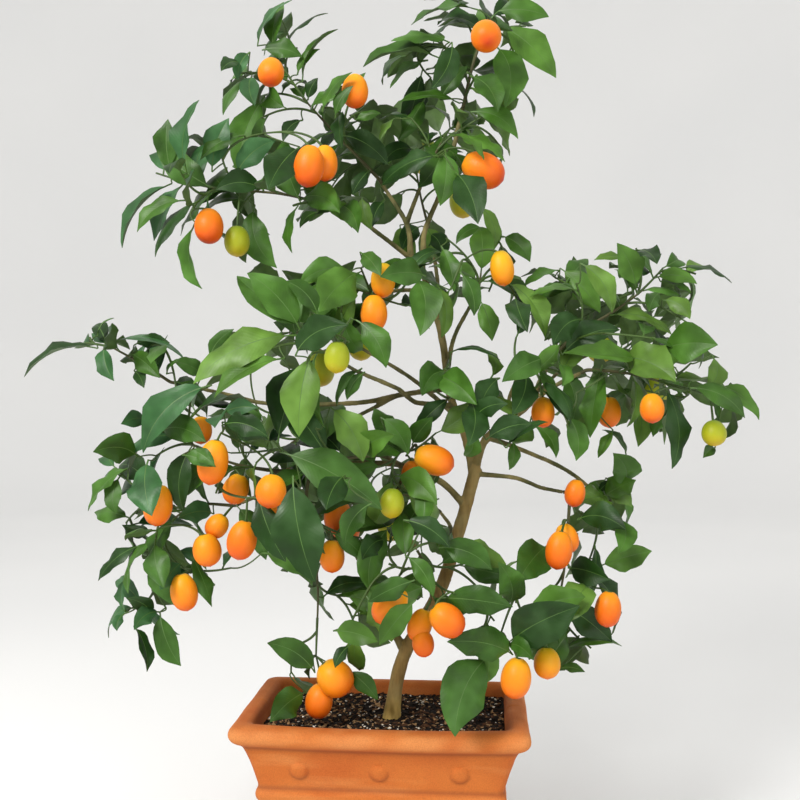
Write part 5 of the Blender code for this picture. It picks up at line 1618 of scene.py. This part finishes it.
def room():
    """A pale round floor that bends up into a low wall, open above, so that it lies behind every view."""
    finish = Finish("pale backdrop", 0.9)
    pale = ((0.3, (0.86, 0.865, 0.87)), (0.7, (0.89, 0.893, 0.895)))
    finish.set("Base Color", finish.ramp(finish.noise(1.2, 1), pale))
    outline = [(0.02, 0.0), (ROOM_RADIUS - ROOM_BEND, 0.0)]
    for step in range(1, 13):
        turn = math.pi / 2 * step / 12
        outline.append((ROOM_RADIUS - ROOM_BEND * (1 - math.sin(turn)), ROOM_BEND * (1 - math.cos(turn))))
    outline.append((ROOM_RADIUS, ROOM_HEIGHT))
    points, faces, _ = lathe(outline, 64)
    shell = Shell()
    shell.add(points, faces[:-1], 0)
    return shell.piece("backdrop", [finish.material])


def light(name, middle, target, size, power, colour=(1, 1, 1)):
    lamp = bpy.data.lights.new(name, "AREA")
    lamp.shape = "DISK"
    lamp.size = size
    lamp.energy = power
    lamp.color = colour
    thing = new_object(name, lamp)
    thing.location = middle
    thing.rotation_euler = (Vector(target) - Vector(middle)).to_track_quat("-Z", "Y").to_euler()


def set_up_camera():
    camera = bpy.data.cameras.new("camera")
    camera.lens = LENS
    camera.sensor_width = SENSOR
    camera.clip_end = 20
    eye = new_object("camera", camera)
    eye.location = FOOT + RIGHT * EYE_ACROSS + NEARER * EYE_DISTANCE + UP * EYE_UP
    eye.rotation_euler = (-NEARER).to_track_quat("-Z", "Y").to_euler()
    bpy.context.scene.camera = eye


def set_up_light():
    world = bpy.data.worlds.new("soft sky")
    world.use_nodes = True
    sky = world.node_tree.nodes["Background"]
    sky.inputs["Color"].default_value = (1.0, 0.985, 0.955, 1)
    sky.inputs["Strength"].default_value = 0.86
    bpy.context.scene.world = world
    light("key", (-0.9, -1.5, 1.7), (0, 0, 0.5), 0.7, 42, (1, 0.98, 0.95))
    light("fill", (1.2, -1.4, 0.8), (0, 0, 0.45), 1.2, 8)
    bpy.context.scene.view_settings.view_transform = "Standard"


def settle(pieces, slot, *solids):
    """Puts the pieces on the root body and hides the solids that they stand for. The slot is not used."""
    for piece in pieces:
        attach(piece, "root")
    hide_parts(*solids)


def main():
    limbs, branches, berries, leaves = grow_tree()
    greens = [leaf_finish(f"leaf_{order}", colour) for order, colour in enumerate(LEAF_GREENS)]
    plains = (
        ("leaf_rib", RIB_GREEN, 0.5), ("leaf_under", LEAF_UNDER, 0.6),
        ("shoot", SHOOT_GREEN, 0.55), ("stem", STEM_BROWN, 0.7),
    )
    rib, under, *twig_finishes = [plain_green(*plain) for plain in plains]
    ripeness = (
        ("ripe_fruit", RIPE_SHADED_BELOW), ("deep_fruit", DEEP_SHADED_BELOW),
        ("turning_fruit", TURNING), ("green_fruit", GREEN_FRUIT),
    )
    fruit_finishes = [fruit_finish(*stage) for stage in ripeness]
    for mass in MASSES:
        own_leaves = [leaf for leaf in leaves if leaf.mass == mass.name]
        own_berries = [berry for berry in berries if berry.mass == mass.name]
        pieces = [leaves_piece(mass, own_leaves, [*greens, rib, under])]
        pieces.append(twigs_piece(mass, branches[mass.name], own_berries, own_leaves, twig_finishes))
        if own_berries:
            pieces.append(fruit_piece(mass, own_berries, fruit_finishes))
        settle(pieces, "foliage", mass.name + "_foliage")
    settle([bark_piece(limbs, bark_finish())], "bark", *limbs)
    settle([pot_piece(terracotta_finish())], "terracotta", "pot")
    peat = crumb_finish("peat", (0.012, 0.008, 0.006), 0.6)
    wood = crumb_finish("bark_chip", (0.075, 0.034, 0.016), 0.5)
    tan = crumb_finish("tan_chip", (0.32, 0.19, 0.09), 0.35)
    white = crumb_finish("perlite", (0.82, 0.76, 0.66), 0.12)
    top = soil_piece(peat)
    chips = crumbs_piece("chips", CHIPS, CHIP_SIZES, [peat, peat, peat, wood, wood, tan], 3)
    grains = crumbs_piece("perlite", PERLITE, GRAIN_SIZES, [white, white, tan], 4)
    settle([top, chips, grains], "soil", "soil")
    room()
    set_up_light()
    set_up_camera()


main()
